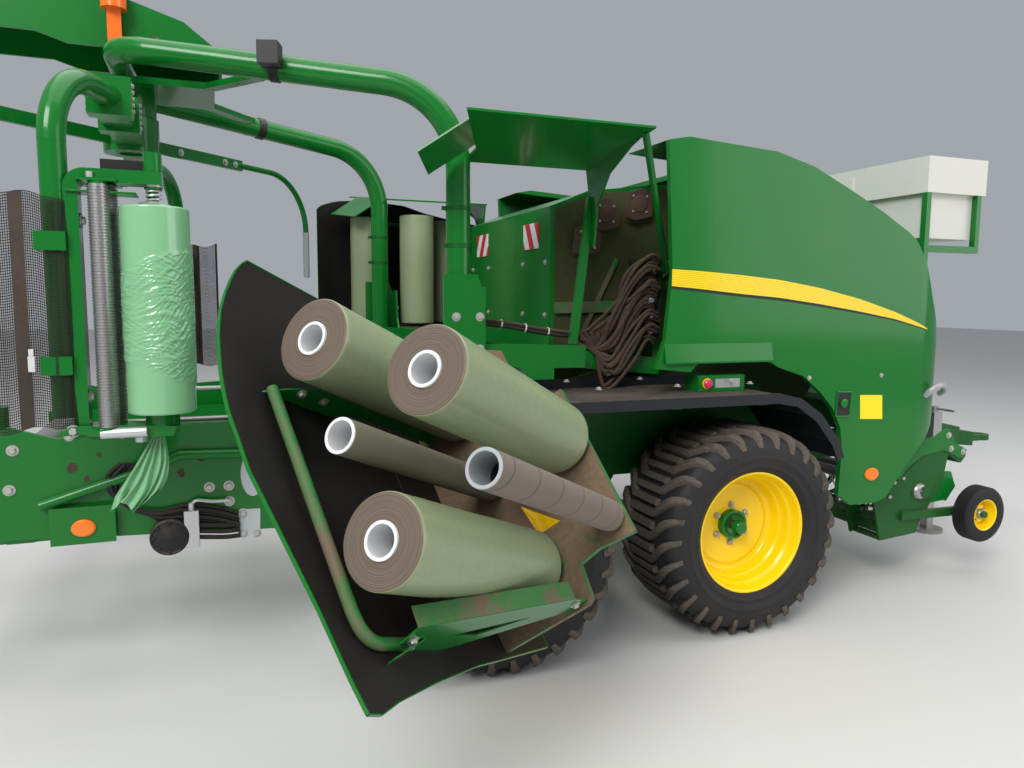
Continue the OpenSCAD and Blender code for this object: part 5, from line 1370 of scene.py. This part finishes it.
def make_lamps():
    """Red and amber panes of the rear lamps."""
    red = Kit()
    amber = Kit()
    lo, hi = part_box("rear_lamps")
    x, z = lo[0] + EYE.x, (lo[2] + hi[2]) / 2 + EYE.z
    for s in (-1, 1):
        y = s * (hi[1] - 0.06)
        red.box(x - 0.004, x + 0.002, y - 0.045, y + 0.045, z - 0.03, z + 0.01)
        amber.box(x - 0.004, x + 0.002, y - 0.045, y + 0.045, z + 0.013, z + 0.032)
    red.done("rear_lamp_red", "frame", "red", bevel=0.002)
    amber.done("rear_lamp_amber", "frame", "reflex_orange", bevel=0.002)


def make_tank():
    """Lid and ribs of the tank."""
    lo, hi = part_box("tank")
    lo, hi = Vector(lo) + EYE, Vector(hi) + EYE
    mid = (lo + hi) / 2
    lid = Kit()
    lid.lathe(mm((0, 0), (75, 0), (78, 4), (78, 22), (70, 30), (0, 32)), (mid.x, mid.y - 0.25, hi.z - 0.001), n=40)
    for k in range(18):
        a = 2 * math.pi * k / 18
        p = Vector((mid.x + 0.0785 * math.cos(a), mid.y - 0.25 + 0.0785 * math.sin(a), hi.z + 0.003))
        lid.cyl(p, p + Vector((0, 0, 0.016)), 0.004, 6)
    lid.done("tank_lid", "frame", "black")
    ribs = Kit()
    for y in (-0.3, 0.0, 0.3):
        for x0, x1 in ((hi.x - 0.002, hi.x + 0.006), (lo.x - 0.006, lo.x + 0.002)):
            ribs.box(x0, x1, mid.y + y - 0.016, mid.y + y + 0.016, lo.z + 0.05, hi.z - 0.05)
    ribs.done("tank_ribs", "frame", "tank", bevel=0.003)


def make_gauge_wheels():
    """Ribbed tyre, rim and hub of the pickup's gauge wheels."""
    for side in SIDES:
        body = f"gauge_{side}"
        place = GROUND @ Matrix.Translation((2.5, 0, 0.4))
        d = (0, -1, 0)
        p = (0, -1.15, 0)
        ribs = [(r, h + 0.0135 * k) for k in range(6)
                for r, h in ((0.169, -0.04), (0.17, -0.039), (0.17, -0.03), (0.1655, -0.029))]
        tyre = Kit().lathe(mm((94, -46), (100, -52), (130, -55), (150, -51), (162, -43)) + ribs
                           + mm((166, 43), (150, 51), (130, 55), (100, 52), (94, 46), (94, -46)), p, d, 72)
        tyre.pair("gauge_tyre", body, "tyre", side, place, replaces=(f"gauge_wheel_{side}",))
        rim = Kit().lathe(mm((30, 12), (52, 10), (66, -10), (78, -14), (84, 30), (88, 46), (96, 50), (98, 46),
                             (94.5, 40), (94.5, -40), (98, -46), (90, -50), (80, -20), (30, 4), (30, 12)), p, d, 56)
        rim.pair("gauge_rim", body, "yellow", side, place)
        hub = Kit().lathe(mm((21.2, -40), (32, -40), (32, 20), (26, 30), (21.2, 31)), p, d, 32)
        for k in range(4):
            a = math.pi * (0.25 + k / 2)
            hub.bolt((0.045 * math.cos(a), -1.1612, 0.045 * math.sin(a)), d, 0.007, False)
        hub.pair("gauge_hub", body, "steel", side, place)


def make_pickup_arms():
    """Plates, cap and bolts at the pickup's sides."""
    for side in SIDES:
        arm = Kit()
        arm.plate(mm((1919, 645), (1937, 624), (1982, 685), (2110, 765), (2280, 790), (2408, 736), (2463, 729),
                     (2476, 781), (2364, 834), (2350, 880), (2312, 918), (2277, 917), (2203, 876), (2085, 857),
                     (2031, 796), (1971, 724)), 0.012, (0, -1.052, 0))
        arm.plate(mm((1808, 517), (1862, 461), (1938, 448), (2321, 472), (2216, 665), (2144, 703), (2050, 710),
                     (1938, 641)), 0.01, (0, -1.042, 0))
        arm.plate(mm((2263, 536), (2305, 652), (2377, 647), (2422, 550), (2349, 462)), 0.016, (0, -1.03, 0))
        arm.pair("pickup_plates", "pickup", "green", side, bevel=0.0015)
        cap = Kit().lathe(mm((0, 0), (50, 0), (50, 18), (42, 30), (20, 36), (18, 44), (0, 46)),
                          (2.101, -1.052, 0.549), (0, -1, 0), 36)
        cap.pair("pickup_cap", "pickup", "steel", side)
        bolts = Kit()
        for x, y, z in mm((1974, -1052, 637), (1905, -1052, 617), (1874, -1052, 533), (2341, -1064, 796),
                          (2443, -1064, 770), (2312, -1064, 880)):
            bolts.bolt((x, y, z), (0, -1, 0), 0.011)
        bolts.pair("pickup_bolts", "pickup", "bolt", side)


SIDE_Y = -0.89  # outer face of the wrapper frame's side plate
LOW_Y = SIDE_Y - 0.0442  # and of the plate that carries its reflector


def make_lower_side():
    """Drive, valves and hoses low on the wrapper's side."""
    for side in SIDES:
        eye = Kit().lathe(mm((0, 0), (36, 0), (36, 7), (30, 12), (0, 13)), (-2.364, LOW_Y, 0.738), (0, -1, 0), 40)
        eye.v = [Vector((-2.364 + (v.x + 2.364) * 1.25, v.y, v.z)) for v in eye.v]
        eye.pair("low_reflector", "frame", "reflex_orange", side)
        motor = Kit()
        motor.lathe(mm((0, 0), (75, 0), (78, 4), (78, 50), (70, 56), (66, 52), (40, 56), (20, 64), (0, 66)),
                    (-2.044, SIDE_Y, 0.665), (0, -1, 0), 48)
        for k in range(8):
            a = math.pi * k / 4
            motor.bolt((-2.044 + 0.062 * math.cos(a), SIDE_Y - 0.054, 0.665 + 0.062 * math.sin(a)), (0, -1, 0), 0.006,
                       False)
        motor.pair("drive_motor", "frame", "black", side)
        valve = Kit().box(-1.985, -1.925, SIDE_Y - 0.05, SIDE_Y, 0.61, 0.77)
        valve.lathe(mm((0, 0), (13, 0), (13, 30), (9, 34), (0, 34)), (-1.955, SIDE_Y - 0.025, 0.769), (0, 0, 1), 20)
        valve.tube([(-1.955, SIDE_Y - 0.025, 0.795), (-1.93, SIDE_Y - 0.03, 0.812), (-1.87, SIDE_Y - 0.03, 0.802),
                    (-1.8, SIDE_Y - 0.03, 0.8)], 0.007, 10, 4)
        valve.pair("drive_valve", "frame", "zinc", side, bevel=0.002)
        zinc = Kit().plate(mm((-1759, 748), (-1672, 746), (-1676, 614), (-1763, 624)), 0.003, (0, SIDE_Y - 0.0005, 0))
        zinc.pair("low_zinc", "frame", "pale_grey", side)
        oval = Kit().lathe(mm((0, 0), (50, 0), (50, 2.5), (0, 3)), (-1.7, SIDE_Y - 0.0003, 0.905), (0, -1, 0), 40)
        oval.v = [Vector((v.x, v.y, 0.905 + (v.z - 0.905) * 2.0)) for v in oval.v]
        oval.pair("low_oval", "frame", "pale_grey", side)
        bolts = Kit()
        for x, z in mm((-2606, 1067), (-2626, 906), (-1880, 859), (-1800, 860), (-1800, 790), (-1745, 640),
                       (-1690, 635), (-1745, 730)):
            bolts.bolt((x, SIDE_Y - 0.0003, z), (0, -1, 0), 0.013)
        bolts.pair("low_bolts", "frame", "bolt", side)
        rnd = random.Random(11)
        hoses = Kit()
        for k in range(5):
            j = 0.016 * k
            y = SIDE_Y - 0.014 - 0.01 * (k % 2)
            hoses.tube([(-2.22 + j, y + 0.01, 0.985), (-2.27 + j, y, 0.94 - j), (-2.26 + j, y - 0.01, 0.87 - j),
                        (-2.17 + j, y - 0.012, 0.8 - j * 0.6), (-2.08, y - 0.012, 0.775 - j * 0.5),
                        (-1.97, y, 0.79 - j), (-1.86, y + 0.004, 0.77 - j), (-1.765, y + 0.006, 0.735 - j)], 0.0085,
                        10, 5)
        for k in range(3):
            z = 0.7 - 0.026 * k
            hoses.tube([(-1.925, SIDE_Y - 0.025, z), (-1.89, SIDE_Y - 0.026, z - 0.004),
                        (-1.82, SIDE_Y - 0.022, z - 0.012), (-1.76, SIDE_Y - 0.012, z - 0.014)], 0.01, 10, 4)
        hoses.pair("low_hoses", "frame", "hose", side, angle=60)
        rust = Kit()
        for x, z, r in mm((-2400, 980, 20), (-2350, 930, 12), (-1905, 1000, 20), (-1990, 930, 16), (-2300, 1030, 10)):
            ring = []
            for a in range(14):
                q = r * (0.7 + 0.5 * rnd.random())
                ring.append((x + q * math.cos(a * math.pi / 7), z + q * 1.2 * math.sin(a * math.pi / 7)))
            rust.plate(ring, 0.0008, (0, SIDE_Y, 0))
        rust.pair("rust_spots", "frame", "rust", side)


def make_floor():
    """Ground under the machine, for the picture only."""
    mesh = bpy.data.meshes.new("floor")
    z = CAD_BOX[0][2]
    s = 40
    mesh.from_pydata([(-s, -s, z), (s, -s, z), (s, s, z), (-s, s, z)], [], [(0, 1, 2, 3)])
    obj = bpy.data.objects.new("floor", mesh)
    bpy.context.collection.objects.link(obj)
    mat = bpy.data.materials.new("floor")
    mat.use_nodes = True
    bsdf = mat.node_tree.nodes["Principled BSDF"]
    bsdf.inputs["Base Color"].default_value = (0.62, 0.61, 0.59, 1)
    bsdf.inputs["Roughness"].default_value = 0.9
    mesh.materials.append(mat)


make_camera()
make_light()
dress_nodes()
make_wheels()
make_satellite_rolls()
make_stored_rolls()
make_film_tails()
make_boxes()
make_dispensers()
make_baler()
make_hoses()
make_panels()
make_mudguards()
make_front()
make_wrapper()
make_lamps()
make_tank()
make_gauge_wheels()
make_pickup_arms()
make_lower_side()
make_floor()
